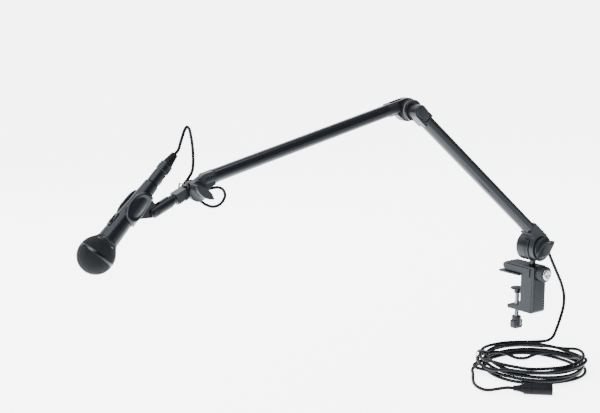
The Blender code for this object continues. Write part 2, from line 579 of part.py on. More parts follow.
def build_cable_tie(body):
    """A strap round the head block and the cord beside it, with its buckle on the top outer edge."""
    low, high, inner, outer, thick = -10.9, 8.7, HEAD_Y + 14.9, HEAD_Y - 8.8, 1.1
    swap = Matrix(((0, 0, 1, 0), (1, 0, 0, 0), (0, 1, 0, 0), (0, 0, 0, 1)))
    frame = arm_frame(HEAD_POINT.x - 15.6, HEAD_POINT.z, TIE_ANGLE) @ swap     # X up, Y world Y, Z along
    band = rounded_box(low - thick, outer - thick, high + thick, inner + thick, 2.4)
    strap = prism("cable_tie", band, -1.2, 1.2, frame, body, "black_plastic")
    buckle = tool_prism(rounded_box(high - 0.4, outer - thick, high + 3.6, outer + 3.6, 0.8), -1.4, 2.6,
                        frame, body)
    combine(strap, buckle, "UNION")
    opening = tool_prism(rounded_box(low, outer, high, inner, 1.4), -6, 6, frame, body)
    combine(strap, opening, "DIFFERENCE")


def build_clip_socket(body):
    """The clip's threaded socket: a round body that ends in a fork about the tilt axis."""
    axis = spin_frame(HEAD, STUD_OFFSET, HEAD_Y)
    r, start = 8.65, 40.6
    outer = [(0, start), (r - 0.5, start), (r, start + 0.5), (r, HEAD_SPAN + r + 1), (0, HEAD_SPAN + r + 1)]
    socket = turned("clip_socket", outer, axis, body, "black_plastic")
    side = ([(start - 1, STUD_OFFSET - r - 0.3)] + arc((HEAD_SPAN, STUD_OFFSET), r + 0.3, -90, 90, 9)
            + [(start - 1, STUD_OFFSET + r + 0.3)])
    combine(socket, tool_prism(side, HEAD_Y - 12, HEAD_Y + 12, HEAD, body), "INTERSECT")
    slot = box_outline(HEAD_SPAN - 10.5, STUD_OFFSET - 12, HEAD_SPAN + 12, STUD_OFFSET + 12)
    combine(socket, tool_prism(slot, HEAD_Y - 4.3, HEAD_Y + 4.3, HEAD, body), "DIFFERENCE")
    combine(socket, tool_turned(rod_profile(5.1, 38, 53), axis, body), "DIFFERENCE")
    tilt = HEAD @ Matrix.Translation((HEAD_SPAN, STUD_OFFSET, HEAD_Y))
    bore = [(0, -12), (4.0, -12), (4.0, -7.0), (2.2, -7.0), (2.2, 7.0), (4.0, 7.0), (4.0, 12), (0, 12)]
    combine(socket, tool_turned(bore, tilt, body), "DIFFERENCE")
    shape = [(0, -8.6), (2.6, -8.6), (3.6, -7.9), (3.6, -7.3), (1.9, -7.3), (1.9, 7.0), (0, 7.0)]
    screw = turned("clip_screw", shape, tilt, body, "steel")
    for heading in (0, 90):
        turn = tilt @ Matrix.Rotation(math.radians(heading), 4, "Z")
        combine(screw, tool_prism(box_outline(-2.2, -0.4, 2.2, 0.4), -9.5, -7.8, turn, body), "DIFFERENCE")
    turned("clip_nut", [(2.2, 7.3), (3.6, 7.3), (3.6, 8.4), (2.2, 8.4)], tilt, body, "steel", closed=True)


def build_head(body):
    build_head_block(body)
    axis = spin_frame(HEAD, STUD_OFFSET, HEAD_Y)
    turned("head_stud", [(0, 22.4), (4.7, 22.4), (4.7, 52.2), (4.2, 52.7), (0, 52.7)], axis, body, "steel")
    flange = [(5.0, 32.3), (8.2, 32.3), (8.2, 34.6), (6.6, 35.0), (6.6, 37.0), (7.5, 37.3), (7.5, 40.2), (5.0, 40.2)]
    turned("lock_ring", flange, axis, body, "black_plastic", closed=True)
    build_cable_tie(body)
    build_clip_socket(body)


# ---- clip and microphone ------------------------------------------------------------------
def handle_radius(along):
    """Outer radius of the tapered handle."""
    t = (along - 25.0) / (HANDLE_TAIL - 25.0)
    return HANDLE_FRONT_RADIUS + (HANDLE_TAIL_RADIUS - HANDLE_FRONT_RADIUS) * t


def clip_section(along, mouth, wall=3.2):
    """A C-shaped section round the handle, open on the side away from the tilt axis."""
    inner = handle_radius(along) + 0.35
    start, end, steps = -180 + mouth, 180 - mouth, 22
    outside = arc((0, 0), inner + wall, start, end, steps)
    inside = arc((0, 0), inner, end, start, steps)
    return [(along, x, z + HEAD_Y) for x, z in outside + inside]


def build_clip(body):
    stations = [(60, 84), (66, 62), (74, 50), (92, 50), (102, 60), (108, 84)]
    clip = lofted("mic_clip", [clip_section(s, mouth) for s, mouth in stations], MIC, body, "black_plastic")
    eye_r = 8.0
    tail = ([(72.0, 13.2)]
            + arc((TILT_ALONG, TILT_ACROSS), eye_r, 135, -25, 12) + [(106.0, 13.2)])
    tongue = tool_prism(tail, HEAD_Y - 4.0, HEAD_Y + 4.0, MIC, body)
    combine(clip, tongue, "UNION")
    combine(clip, tool_turned(rod_profile(2.2, HEAD_Y - 12, HEAD_Y + 12),
                              MIC @ Matrix.Translation((TILT_ALONG, TILT_ACROSS, 0)), body), "DIFFERENCE")


def mic_axis():
    return spin_frame(MIC, 0.0, HEAD_Y)


def sphere_profile(radius, start, end, steps):
    """(radius, height) points of a sphere between two heights, from start to end."""
    a0, a1 = math.asin(start / radius), math.asin(end / radius)
    angles = [a0 + (a1 - a0) * i / steps for i in range(steps + 1)]
    return [(radius * math.cos(a), radius * math.sin(a)) for a in angles]


def build_grille(body):
    axis, r, wall = mic_axis(), GRILLE_RADIUS, 1.0
    outside = [(0, -r)] + sphere_profile(r, -24.2, -3.4, 6)
    inside = sphere_profile(r - wall, -3.4, -23.2, 6) + [(0, -r + wall)]
    turned("grille_front", outside + inside, axis, body, "grille_black")
    turned("grille_band", ring_profile(r + 0.6, r - 1.4, -3.1, 3.1), axis, body, "grille_black", closed=True)
    outer = [(r, 3.4), (24.7, 6.5), (23.4, 11.0), (21.0, 15.6), (18.0, 19.8), (15.6, 23.0)]
    inner = [(14.6, 22.6), (17.1, 19.2), (20.0, 15.1), (22.4, 10.7), (23.7, 6.3), (24.0, 3.4)]
    turned("grille_back", outer + inner, axis, body, "grille_black", closed=True)
    collar = [(12.6, 23.3), (15.4, 23.3), (15.6, 23.6), (15.6, 25.0), (15.2, 25.3), (12.6, 25.3)]
    turned("grille_collar", collar, axis, body, "chrome", closed=True)
    foam = [(0, -22.8)] + sphere_profile(22.8, -22.0, 2.0, 6) + [(20.5, 10.0), (13.0, 19.5), (13.0, 8.0)]
    foam += [(13.0, -4.0), (0, -9.0)]
    turned("grille_foam", foam, axis, body, "foam")


def build_handle(body):
    axis, wall = mic_axis(), 1.6
    front, tail = 25.6, HANDLE_TAIL
    outer = [(handle_radius(front) - 0.5, front), (handle_radius(27.0), 27.0), (handle_radius(60.0), 60.0),
             (handle_radius(90.0), 90.0), (handle_radius(tail - 1.0), tail - 1.0), (HANDLE_TAIL_RADIUS - 0.8, tail)]
    inner = [(8.6, tail), (8.6, 104.0), (handle_radius(100.0) - wall - 0.4, 100.0),
             (handle_radius(60.0) - wall, 60.0), (handle_radius(front) - wall - 0.6, front)]
    handle = turned("mic_handle", outer + inner, axis, body, "satin_black", closed=True)
    pocket = rounded_box(41.0, HEAD_Y - 4.4, 61.0, HEAD_Y + 4.4, 2.0)
    plate_frame = MIC @ Matrix.Rotation(math.pi / 2, 4, "X")    # local Y is world Y, local Z is -across
    combine(handle, tool_prism(pocket, 12.2, 18.0, plate_frame, body), "DIFFERENCE")
    plate_box = rounded_box(41.3, HEAD_Y - 4.1, 60.7, HEAD_Y + 4.1, 1.8)
    plate = prism("switch_plate", plate_box, 12.5, 14.3, plate_frame, body, "black_plastic")
    window = rounded_box(45.5, HEAD_Y - 2.2, 56.5, HEAD_Y + 2.2, 0.8)
    combine(plate, tool_prism(window, 13.3, 18, plate_frame, body), "DIFFERENCE")


def build_mic(body):
    build_grille(body)
    build_handle(body)
    axis = mic_axis()
    capsule = [(0, -5.5), (8.5, -5.5), (8.8, -5.2), (8.8, 9.0), (6.0, 10.0), (6.0, 17.5), (0, 17.5)]
    turned("mic_capsule", capsule, axis, body, "brass")
    prism("mic_board", box_outline(30.0, -8.0, 88.0, 8.0), HEAD_Y - 0.8, HEAD_Y + 0.8, MIC, body, "board_green")
    insert = turned("mic_insert", rod_profile(8.3, 104.6, 110.0), axis, body, "black_plastic")
    for heading in (90, 210, 330):
        x, y = 3.8 * math.cos(math.radians(heading)), 3.8 * math.sin(math.radians(heading))
        pin = tool_turned([(0, 109.0), (1.2, 109.0), (1.2, 120.0), (0.7, 120.8), (0, 120.8)],
                          axis @ Matrix.Translation((x, y, 0)), body)
        combine(insert, pin, "UNION")


def build_mic_switch(body):
    plate_frame = MIC @ Matrix.Rotation(math.pi / 2, 4, "X")
    prism("mic_switch", rounded_box(46.0, HEAD_Y - 1.9, 51.0, HEAD_Y + 1.9, 0.7), 13.6, 16.2, plate_frame, body,
          "black_plastic", bevel=0.4)


# ---- cable plugs --------------------------------------------------------------------------
def build_mic_plug(body):
    """Female plug on the microphone's tail: nose inside the handle, shell, cap and bend relief."""
    axis, start = mic_axis(), HANDLE_TAIL + GAP
    shell = [(7.0, 111.4), (7.9, 111.4), (7.9, start), (9.0, start), (9.5, start + 0.6), (9.5, 142.6), (9.1, 143.0),
             (9.5, 143.4), (9.3, 156.0), (8.6, 156.7), (6.8, 156.7), (6.8, 127.0), (7.0, 127.0)]
    sleeve = turned("plug_shell", shell, axis, body, "satin_black", closed=True)
    latch = tool_prism(box_outline(128.0, 5.0, 135.6, 12.0), HEAD_Y - 2.9, HEAD_Y + 2.9, MIC, body)
    combine(sleeve, latch, "DIFFERENCE")
    core = turned("plug_insert", rod_profile(6.7, 111.6, 126.0), axis, body, "black_plastic")
    for heading in (90, 210, 330):
        x, y = 3.8 * math.cos(math.radians(heading)), 3.8 * math.sin(math.radians(heading))
        hole = tool_turned(rod_profile(1.6, 108, 122), axis @ Matrix.Translation((x, y, 0)), body)
        combine(core, hole, "DIFFERENCE")
    boot = [(2.8, 150.0), (6.3, 150.0), (6.3, 157.0), (7.6, 157.0), (7.0, 160.0), (5.6, 170.0), (4.8, 174.6),
            (2.8, 174.6)]
    turned("plug_boot", boot, axis, body, "black_rubber", closed=True)


def build_plug_latch(body):
    prism("plug_latch", rounded_box(128.3, HEAD_Y - 2.6, 135.3, HEAD_Y + 2.6, 1.2), -10.4, -7.9,
          MIC @ Matrix.Rotation(math.pi / 2, 4, "X"), body, "satin_black", bevel=0.5)


def end_plug_frame():
    """Local Z runs out of the plug's mouth; the plug lies on the floor."""
    return Matrix.Translation((*END_PLUG_TIP, FLOOR_Z + 9.7)) @ PLUG_TURN


def build_end_plug(body):
    """Male plug: its shell runs past the pins, with a cap and a bend relief behind."""
    axis = end_plug_frame()
    shell = [(8.4, 0), (9.2, 0), (9.5, -0.5), (9.5, -33.0), (9.1, -33.4), (9.4, -33.8), (9.0, -45.0), (8.4, -45.7),
             (6.6, -45.7), (6.6, -26.0), (8.4, -26.0)]
    turned("end_plug_shell", shell, axis, body, "satin_black", closed=True)
    core = turned("end_plug_insert", rod_profile(8.1, -25.7, -15.0), axis, body, "black_plastic")
    for heading in (90, 210, 330):
        x, y = 3.8 * math.cos(math.radians(heading)), 3.8 * math.sin(math.radians(heading))
        pin = tool_turned([(0, -16), (1.2, -16), (1.2, -3.5), (0.7, -2.6), (0, -2.6)],
                          axis @ Matrix.Translation((x, y, 0)), body)
        combine(core, pin, "UNION")
    boot = [(2.8, -38.0), (6.3, -38.0), (6.3, -46.0), (7.4, -46.0), (6.8, -49.0), (5.0, -58.5), (4.6, -62.0),
            (2.8, -62.0)]
    turned("end_plug_boot", boot, axis, body, "black_rubber", closed=True)


# ---- free cords ---------------------------------------------------------------------------
def mic_lead_route():
    """From the plug's bend relief up over an arch and down to the head's cable tie."""
    axis = mic_axis()
    start = [axis @ Vector((0, 0, h)) for h in (174.9, 183.0)]
    return start + [Vector(p) for p in MIC_LEAD_POINTS]


def build_cords(arm, head, swivel):
    cord("mic_lead", mic_lead_route(), 48, head, radius=LEAD_RADIUS)
    loop = list(LOOP_POINTS) + [EXIT_FRAME @ Vector((0, 0, h)) for h in (11.6, 8.9)]
    cord("service_loop", loop, 56, arm, radius=LEAD_RADIUS)
    start = [MOUTH_FRAME @ Vector((0, 0, h)) for h in (-3.8, -9.0)]
    cord("main_cable", start + HANG_POINTS, 56, swivel)
    x, y = COIL_CENTRE
    base, top, low, high = FLOOR_Z + 1.6, FLOOR_Z + COIL_HEIGHT, COIL_INNER, COIL_OUTER
    coil = [(low, base + 3), (low + 4, base), (high - 4, base), (high, base + 3), (high, base + 8),
            (high - 8, top), (low + 8, top), (low, base + 8)]
    turned("cable_coil", coil, upright(x, y), swivel, "black_rubber", closed=True)
    stand = Matrix(((1, 0, 0, 0), (0, 0, 1, 0), (0, 1, 0, 0), (0, 0, 0, 1)))
    frame = upright(x, y) @ Matrix.Rotation(math.radians(COIL_TIE_HEADING), 4, "Z") @ stand
    strap = prism("coil_tie", rounded_box(low - 2.6, FLOOR_Z, high + 2.2, top + 1.7, 4), -5, 5, frame, swivel,
                  "black_plastic")
    opening = tool_prism(rounded_box(low - 1.4, FLOOR_Z + 1.2, high + 1.0, top + 0.5, 3), -8, 8, frame, swivel)
    combine(strap, opening, "DIFFERENCE")
    tail = [end_plug_frame() @ Vector((0, 0, h)) for h in (-74.0, -62.3)]
    cord("plug_lead", PLUG_LEAD_POINTS + tail, 40, swivel)


# ---- assembly -----------------------------------------------------------------------------
def main():
    clear_scene()
    root = pivot("clamp", Vector((0, 0, 0)))
    build_clamp(root)
    build_lock_knob(pivot("lock_knob", Vector((0, BODY_OUTER_Y, LOCK_Z)), root))
    plate = pivot("pressure_plate", Vector((0, 0, PLATE_TOP_Z)), root)
    build_clamp_screw(plate, pivot("clamp_screw", Vector((0, 0, PLATE_TOP_Z)), plate))
    swivel = pivot("swivel", Vector((0, POST_Y, CLAMP_TOP_Z)), root)
    build_swivel(swivel)
    lower = pivot("lower_arm", Vector((0, HUB_FACE_Y, BASE_Z)), swivel)
    washer = ring_profile(19, 4.7, HUB_FACE_Y - 0.8, HUB_FACE_Y - 0.3)
    turned("base_washer", washer, BASE, lower, "fibre", closed=True)
    build_lower_arm(lower)
    base_knob = pivot("base_knob", Vector((0, -52.6, BASE_Z)), swivel)
    build_wing_knob("base_knob", BASE, KNOB_LARGE_RADIUS, (-52.6, -56.0, -67.0), (19.5, 6.4, 144), (4.5, -61),
                    base_knob)
    upper = pivot("upper_arm", Vector((ELBOW_POINT.x, ELBOW_HUB_FACE, ELBOW_POINT.z)), lower)
    build_upper_arm(upper)
    head = pivot("head", Vector((HEAD_POINT.x, HEAD_Y, HEAD_POINT.z)), upper)
    build_head(head)
    head_knob = pivot("head_knob", Vector((HEAD_POINT.x, -25.3, HEAD_POINT.z)), upper)
    hinge = arm_frame(HEAD_POINT.x, HEAD_POINT.z, 0.0)
    build_wing_knob("head_knob", hinge, KNOB_SMALL_RADIUS, (-25.4, -28.8, -44.3), (18.7, 5.0, 216.4), (3.3, -37),
                    head_knob)
    clip = pivot("clip", TILT_POINT, head)
    build_clip(clip)
    build_mic(clip)
    build_mic_plug(clip)
    build_mic_switch(pivot("mic_switch", MIC @ Vector((48.5, -14.0, HEAD_Y)), clip))
    build_plug_latch(pivot("plug_latch", MIC @ Vector((131.8, 9.0, HEAD_Y)), clip))
    build_end_plug(swivel)
    build_cords(upper, head, swivel)


main()
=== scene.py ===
"""Looks of a clamp-on boom arm that holds a clipped vocal microphone and its built-in cable.

Lengths are in millimetres until a mesh or a curve is made. The arms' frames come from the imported
model's joints, so every piece lies where its CAD solid lies.
"""
import json
import math

import bmesh
import bpy
import numpy as np
from mathutils import Matrix, Vector


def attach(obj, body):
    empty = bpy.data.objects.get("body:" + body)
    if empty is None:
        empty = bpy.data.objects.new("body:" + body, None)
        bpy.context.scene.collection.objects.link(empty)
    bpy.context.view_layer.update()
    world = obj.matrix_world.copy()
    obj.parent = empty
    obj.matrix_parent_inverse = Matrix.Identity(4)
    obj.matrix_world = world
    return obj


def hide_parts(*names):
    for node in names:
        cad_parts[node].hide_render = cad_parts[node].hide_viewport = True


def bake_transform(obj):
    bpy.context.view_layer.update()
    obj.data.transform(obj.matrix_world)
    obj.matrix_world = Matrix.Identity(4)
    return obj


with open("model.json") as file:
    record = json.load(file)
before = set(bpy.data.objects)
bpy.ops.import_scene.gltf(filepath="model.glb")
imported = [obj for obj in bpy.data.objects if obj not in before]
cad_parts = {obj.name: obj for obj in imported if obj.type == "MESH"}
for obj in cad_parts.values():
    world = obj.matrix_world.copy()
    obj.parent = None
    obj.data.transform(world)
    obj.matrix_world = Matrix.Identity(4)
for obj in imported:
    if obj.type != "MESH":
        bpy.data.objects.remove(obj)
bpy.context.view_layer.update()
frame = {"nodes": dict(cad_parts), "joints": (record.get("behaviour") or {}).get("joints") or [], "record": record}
JOINTS = {joint["name"]: joint for joint in frame["joints"]}
MM = 0.001


def joint_point(name):
    return Vector(JOINTS[name]["pos_m"]) / MM


# ---- frames, from the joints ---------------------------------------------------------------
def arm_frame(point, angle):
    """Local X runs along an arm, local Y across it, local Z is world +Y; the origin has Y = 0."""
    a = math.radians(angle)
    along = Vector((-math.cos(a), 0.0, math.sin(a)))
    across = Vector((math.sin(a), 0.0, math.cos(a)))
    turn = Matrix((along, across, Vector((0.0, 1.0, 0.0)))).transposed().to_4x4()
    return Matrix.Translation((point.x, 0.0, point.z)) @ turn


def spin_frame(base, across, y):
    """A frame whose local Z is the arm's own direction, for pieces turned about a tube's axis."""
    return base @ Matrix.Translation((0.0, across, y)) @ Matrix.Rotation(math.pi / 2, 4, "Y")


def aimed(base, start, end):
    """A frame at start, in an arm's coordinates, whose local Z points at end."""
    axis = (Vector(end) - Vector(start)).normalized()
    return base @ Matrix.Translation(start) @ axis.to_track_quat("Z", "Y").to_matrix().to_4x4()


def upright(x, y):
    return Matrix.Translation((x, y, 0.0))


def on_axis(base, *heights):
    return [base @ Vector((0, 0, h)) for h in heights]


LOWER_ANGLE, UPPER_ANGLE, HEAD_ANGLE, MIC_ANGLE, TIE_ANGLE = 39.2, -12.4, -23.5, 135.0, 9.4
BASE_POINT = joint_point("lower_arm_lift")
ELBOW_POINT = joint_point("elbow_bend")
HEAD_POINT = joint_point("head_tilt")
TILT_POINT = joint_point("clip_tilt")
BASE = arm_frame(BASE_POINT, 0.0)
LOWER = arm_frame(BASE_POINT, LOWER_ANGLE)
UPPER = arm_frame(ELBOW_POINT, UPPER_ANGLE)
HEAD = arm_frame(HEAD_POINT, HEAD_ANGLE)
LOWER_SPAN, LOWER_LIFT = [(LOWER.inverted() @ ELBOW_POINT)[i] for i in (0, 1)]
UPPER_SPAN = (UPPER.inverted() @ HEAD_POINT)[0]
HEAD_SPAN, STUD_LIFT = [(HEAD.inverted() @ TILT_POINT)[i] for i in (0, 1)]
HEAD_Y = TILT_POINT.y
TILT_ALONG, TILT_ACROSS = 98.0, 29.1
MIC_TURN = arm_frame(Vector((0, 0, 0)), MIC_ANGLE)
MIC = arm_frame(TILT_POINT - MIC_TURN @ Vector((TILT_ALONG, TILT_ACROSS, 0.0)), MIC_ANGLE)
MIC_AXIS = spin_frame(MIC, 0.0, HEAD_Y)
MIC_FLAT = MIC @ Matrix.Rotation(math.pi / 2, 4, "X")      # local Z points to the switch's side
POST_Y = joint_point("swivel_turn").y
LOCK_Z = joint_point("lock_turn").z
FLOOR_Z = -146.5
LOWER_TUBE_Y, LOWER_RADIUS, LOWER_OFFSET = -41.3, 11.0, 13.6
UPPER_RADIUS, UPPER_OFFSET = 10.0, 9.0
MAIN_RADIUS, LEAD_RADIUS = 2.8, 2.2
HUB_RADIUS, HUB_FACE_Y, HANDLE_TAIL = 25.0, -41.6, 123.0
# Outlines are drawn in local X and Y: STAND has Y up and X along X, SIDE has Y up and X along world Y.
STAND = Matrix(((1, 0, 0, 0), (0, 0, 1, 0), (0, 1, 0, 0), (0, 0, 0, 1)))
SIDE = Matrix(((0, 0, 1, 0), (1, 0, 0, 0), (0, 1, 0, 0), (0, 0, 0, 1)))
BASE_FLAT = arm_frame(Vector((0.0, 0.0, 0.0)), 0.0)
MOUTH_FRAME = aimed(LOWER, (-22.6, 5.3, -47.5), (26.7, 13.8, -47.5))
EXIT_FRAME = aimed(UPPER, (384.4, 3.2, -13.0), (379.6, -3.6, -12.9))
PLUG_TIP, PLUG_HEADING = (-124.5, -192.7), -44.0
END_PLUG = (Matrix.Translation((*PLUG_TIP, FLOOR_Z + 9.7))
            @ Matrix.Rotation(math.radians(PLUG_HEADING), 4, "Z") @ Matrix.Rotation(math.pi / 2, 4, "Y"))


# ---- camera, light and floor ---------------------------------------------------------------
CAMERA_AT = Vector((-1523.5, -1360.8, 499.3))
CAMERA_AZIMUTH, CAMERA_ELEVATION = -37.32, 10.756
SENSOR, LENS = 36.0, 69.84


def placed(name, data):
    item = bpy.data.objects.new(name, data)
    bpy.context.scene.collection.objects.link(item)
    return item


def look(item, azimuth, elevation):
    a, e = math.radians(azimuth), math.radians(elevation)
    back = Vector((math.sin(a) * math.cos(e), -math.cos(a) * math.cos(e), math.sin(e)))
    item.rotation_mode = "QUATERNION"
    item.rotation_quaternion = (-back).to_track_quat("-Z", "Y")


def make_camera():
    data = bpy.data.cameras.new("camera")
    data.sensor_width, data.lens = SENSOR, LENS
    data.clip_start, data.clip_end = 0.05, 600.0
    camera = placed("camera", data)
    camera.location = CAMERA_AT * MM
    look(camera, CAMERA_AZIMUTH, CAMERA_ELEVATION)
    bpy.context.scene.camera = camera


def area_light(name, place, target, size, power):
    data = bpy.data.lights.new(name, "AREA")
    data.shape, data.size, data.size_y, data.energy = "RECTANGLE", size[0], size[1], power
    light = placed(name, data)
    light.location = place
    light.rotation_mode = "QUATERNION"
    light.rotation_quaternion = (Vector(target) - Vector(place)).to_track_quat("-Z", "Y")


def make_studio():
    world = bpy.data.worlds.new("studio")
    world.use_nodes = True
    world.node_tree.nodes["Background"].inputs["Color"].default_value = (0.86, 0.92, 1.0, 1.0)
    world.node_tree.nodes["Background"].inputs["Strength"].default_value = 0.42
    bpy.context.scene.world = world
    sky = bpy.data.lights.new("overhead", "SUN")
    sky.energy, sky.angle = 5.0, math.radians(70.0)
    look(placed("overhead", sky), -75.0, 74.0)
    centre = (-0.40, -0.03, 0.12)
    area_light("left_softbox", (-2.0, -0.35, 0.9), centre, (0.9, 1.3), 30.0)
    area_light("back_softbox", (-0.1, 1.5, 1.35), centre, (3.2, 1.5), 42.0)
    bpy.ops.mesh.primitive_plane_add(size=400.0, location=(0.0, 0.0, FLOOR_Z * MM - 0.0006))
    floor = bpy.context.object
    floor.name = "studio_floor"
    floor.data.materials.append(glowing_floor())


def glowing_floor():
    """A white floor that glows by emission, painted light standing in for a lit sweep; the glow is painted dimmer
    in front of the clamp.
    """
    made = plain_material("floor_white", (0.93, 0.935, 0.94), 0.7)
    nodes, links = made.node_tree.nodes, made.node_tree.links
    place, along, fade = [nodes.new("ShaderNode" + kind) for kind in ("TexCoord", "VectorMath", "MapRange")]
    along.operation = "DOT_PRODUCT"
    along.inputs[1].default_value = (0.6, -0.8, 0.0)
    links.new(place.outputs["Object"], along.inputs[0])
    links.new(along.outputs["Value"], fade.inputs["Value"])
    # painted shade: the floor's glow falls from 4.6 to 0.2 towards the front of the clamp
    fill(fade, {"From Min": 0.15, "From Max": 0.40, "To Min": 4.6, "To Max": 0.2})
    shader = nodes["Principled BSDF"]
    # painted light: the floor's white glow comes from emission, not from the lamps
    fill(shader, {"Emission Color": (0.97, 0.985, 1.0, 1.0)})
    links.new(fade.outputs["Result"], shader.inputs["Emission Strength"])
    return made


# ---- materials -----------------------------------------------------------------------------
def fill(node, values):
    for socket, value in values.items():
        node.inputs[socket].default_value = value


def plain_material(name, colour, roughness, metallic=0.0):
    made = bpy.data.materials.new(name)
    made.use_nodes = True
    fill(made.node_tree.nodes["Principled BSDF"],
         {"Base Color": (*colour, 1.0), "Roughness": roughness, "Metallic": metallic})
    return made


def grained(name, dark, light, roughness, spread, grain, depth, metallic=0.0, specular=0.3):
    """A coated or moulded surface: fine grain in the bump, slow drift in colour and roughness.

    dark and light are the colours that the drift runs between, grain the size of a grain in mm,
    depth the height of the bump in mm, and specular the strength of its mirror reflection.
    """
    made = plain_material(name, dark, roughness, metallic)
    nodes, links = made.node_tree.nodes, made.node_tree.links
    shader = nodes["Principled BSDF"]
    fill(shader, {"Specular IOR Level": specular})
    if not metallic:
        fill(shader, {"Specular Tint": (0.82, 0.91, 1.0, 1.0)})
    place = nodes.new("ShaderNodeTexCoord")
    fine, slow = nodes.new("ShaderNodeTexNoise"), nodes.new("ShaderNodeTexNoise")
    fill(fine, {"Scale": 1.0 / (grain * MM), "Detail": 3.0})
    fill(slow, {"Scale": 42.0, "Detail": 4.0})
    for noise in (fine, slow):
        links.new(place.outputs["Object"], noise.inputs["Vector"])
    tint = nodes.new("ShaderNodeMix")
    tint.data_type = "RGBA"
    fill(tint, {"A": (*dark, 1.0), "B": (*light, 1.0)})
    links.new(slow.outputs["Fac"], tint.inputs["Factor"])
    links.new(tint.outputs["Result"], shader.inputs["Base Color"])
    sheen = nodes.new("ShaderNodeMapRange")
    fill(sheen, {"From Min": 0.3, "From Max": 0.7,
                 "To Min": roughness - spread, "To Max": roughness + spread})
    links.new(fine.outputs["Fac"], sheen.inputs["Value"])
    links.new(sheen.outputs["Result"], shader.inputs["Roughness"])
    bump = nodes.new("ShaderNodeBump")
    fill(bump, {"Strength": 0.6, "Distance": depth * MM})
    links.new(fine.outputs["Fac"], bump.inputs["Height"])
    links.new(bump.outputs["Normal"], shader.inputs["Normal"])
    return made


# One row for each material slot of the record: the finish's name, the rest of grained's values in
# their order, and its strength of reflection; a metal has metallic 1.
FINISHES = {
    "painted_casting": ("casting_coat", (0.0040, 0.0046, 0.0056), (0.0075, 0.0084, 0.0098),
                        0.34, 0.05, 0.5, 0.02, 0.0, 0.22),
    "black_tube": ("tube_coat", (0.0030, 0.0033, 0.0042), (0.0048, 0.0053, 0.0065),
                   0.18, 0.03, 0.35, 0.004, 0.0, 0.30),
    "black_fitting": ("fitting_coat", (0.0050, 0.0056, 0.0066), (0.0085, 0.0094, 0.0110),
                      0.36, 0.05, 0.45, 0.02, 0.0, 0.25),
    "knob_plastic": ("moulded_knob", (0.0050, 0.0054, 0.0064), (0.0085, 0.0090, 0.0105),
                     0.38, 0.06, 0.6, 0.03, 0.0, 0.26),
    "clip_plastic": ("moulded_clip", (0.0030, 0.0032, 0.0038), (0.0050, 0.0054, 0.0064),
                     0.26, 0.05, 0.5, 0.015, 0.0, 0.26),
    "chrome": ("polished_chrome", (0.38, 0.39, 0.42), (0.48, 0.49, 0.52), 0.10, 0.03, 0.8, 0.003, 1.0),
    "steel": ("bright_steel", (0.30, 0.31, 0.33), (0.42, 0.43, 0.45), 0.28, 0.06, 0.4, 0.01, 1.0),
    "brass": ("turned_brass", (0.56, 0.42, 0.19), (0.66, 0.50, 0.25), 0.32, 0.06, 0.4, 0.01, 1.0),
    "rubber": ("moulded_rubber", (0.0024, 0.0024, 0.0028), (0.0045, 0.0045, 0.0052),
               0.50, 0.06, 0.5, 0.03, 0.0, 0.10),
    "cable_jacket": ("cable_jacket", (0.0022, 0.0024, 0.0030), (0.0040, 0.0044, 0.0052),
                     0.42, 0.06, 0.7, 0.02, 0.0, 0.10),
    "grille_mesh": ("coated_wire", (0.0030, 0.0032, 0.0038), (0.0060, 0.0064, 0.0072),
                    0.30, 0.06, 0.3, 0.01, 0.0, 0.22),
    "grille_bright": ("nickel_band", (0.020, 0.021, 0.023), (0.032, 0.033, 0.036),
                      0.22, 0.05, 0.5, 0.006, 1.0),
    "mic_body": ("microphone_coat", (0.0026, 0.0028, 0.0036), (0.0044, 0.0048, 0.0058),
                 0.20, 0.03, 0.3, 0.006, 0.0, 0.24),
    "foam": ("open_foam", (0.0010, 0.0010, 0.0011), (0.0022, 0.0022, 0.0024), 0.92, 0.05, 0.9, 0.2),
    "board": ("circuit_board", (0.02, 0.10, 0.04), (0.03, 0.14, 0.06), 0.5, 0.05, 0.8, 0.02),
    "fibre": ("pressed_fibre", (0.05, 0.045, 0.04), (0.09, 0.08, 0.07), 0.8, 0.05, 0.4, 0.04)}


# ---- mesh helpers --------------------------------------------------------------------------
SLOT_OF = {row["node"]: row["material_slot"] for row in frame["record"]["subparts"]}
BODY_OF = {node: body for body, nodes in frame["record"]["behaviour"]["bodies"].items() for node in nodes}


def add_mesh(name, bm, base, sharp=32):
    bmesh.ops.transform(bm, matrix=base, verts=bm.verts)
    bmesh.ops.scale(bm, vec=(MM, MM, MM), verts=bm.verts)
    bmesh.ops.recalc_face_normals(bm, faces=bm.faces)
    mesh = bpy.data.meshes.new(name)
    bm.to_mesh(mesh)
    bm.free()
    mesh.shade_smooth()
    mesh.set_sharp_from_angle(angle=math.radians(sharp))
    return placed(name, mesh)


def sides(radius):
    return int(min(96, 20 + 4 * radius))


def turned(name, profile, base, closed=False, steps=0, sharp=32, phase=0.0):
    """Turn (radius, height) points about local Z. A closed profile makes a ring with a bore."""
    bm = bmesh.new()
    steps = steps or sides(max(radius for radius, _ in profile))
    rings = []
    for radius, height in profile:
        if radius == 0:
            rings.append([bm.verts.new((0.0, 0.0, height))])
            continue
        angles = [2 * math.pi * (i + phase) / steps for i in range(steps)]
        rings.append([bm.verts.new((radius * math.cos(a), radius * math.sin(a), height)) for a in angles])
    pairs = list(zip(rings, rings[1:]))
    if closed:
        pairs.append((rings[-1], rings[0]))
    for low, high in pairs:
        for i in range(steps):
            j = (i + 1) % steps
            corners = [low[i % len(low)], low[j % len(low)], high[j % len(high)], high[i % len(high)]]
            bm.faces.new(list(dict.fromkeys(corners)))
    return add_mesh(name, bm, base, sharp)


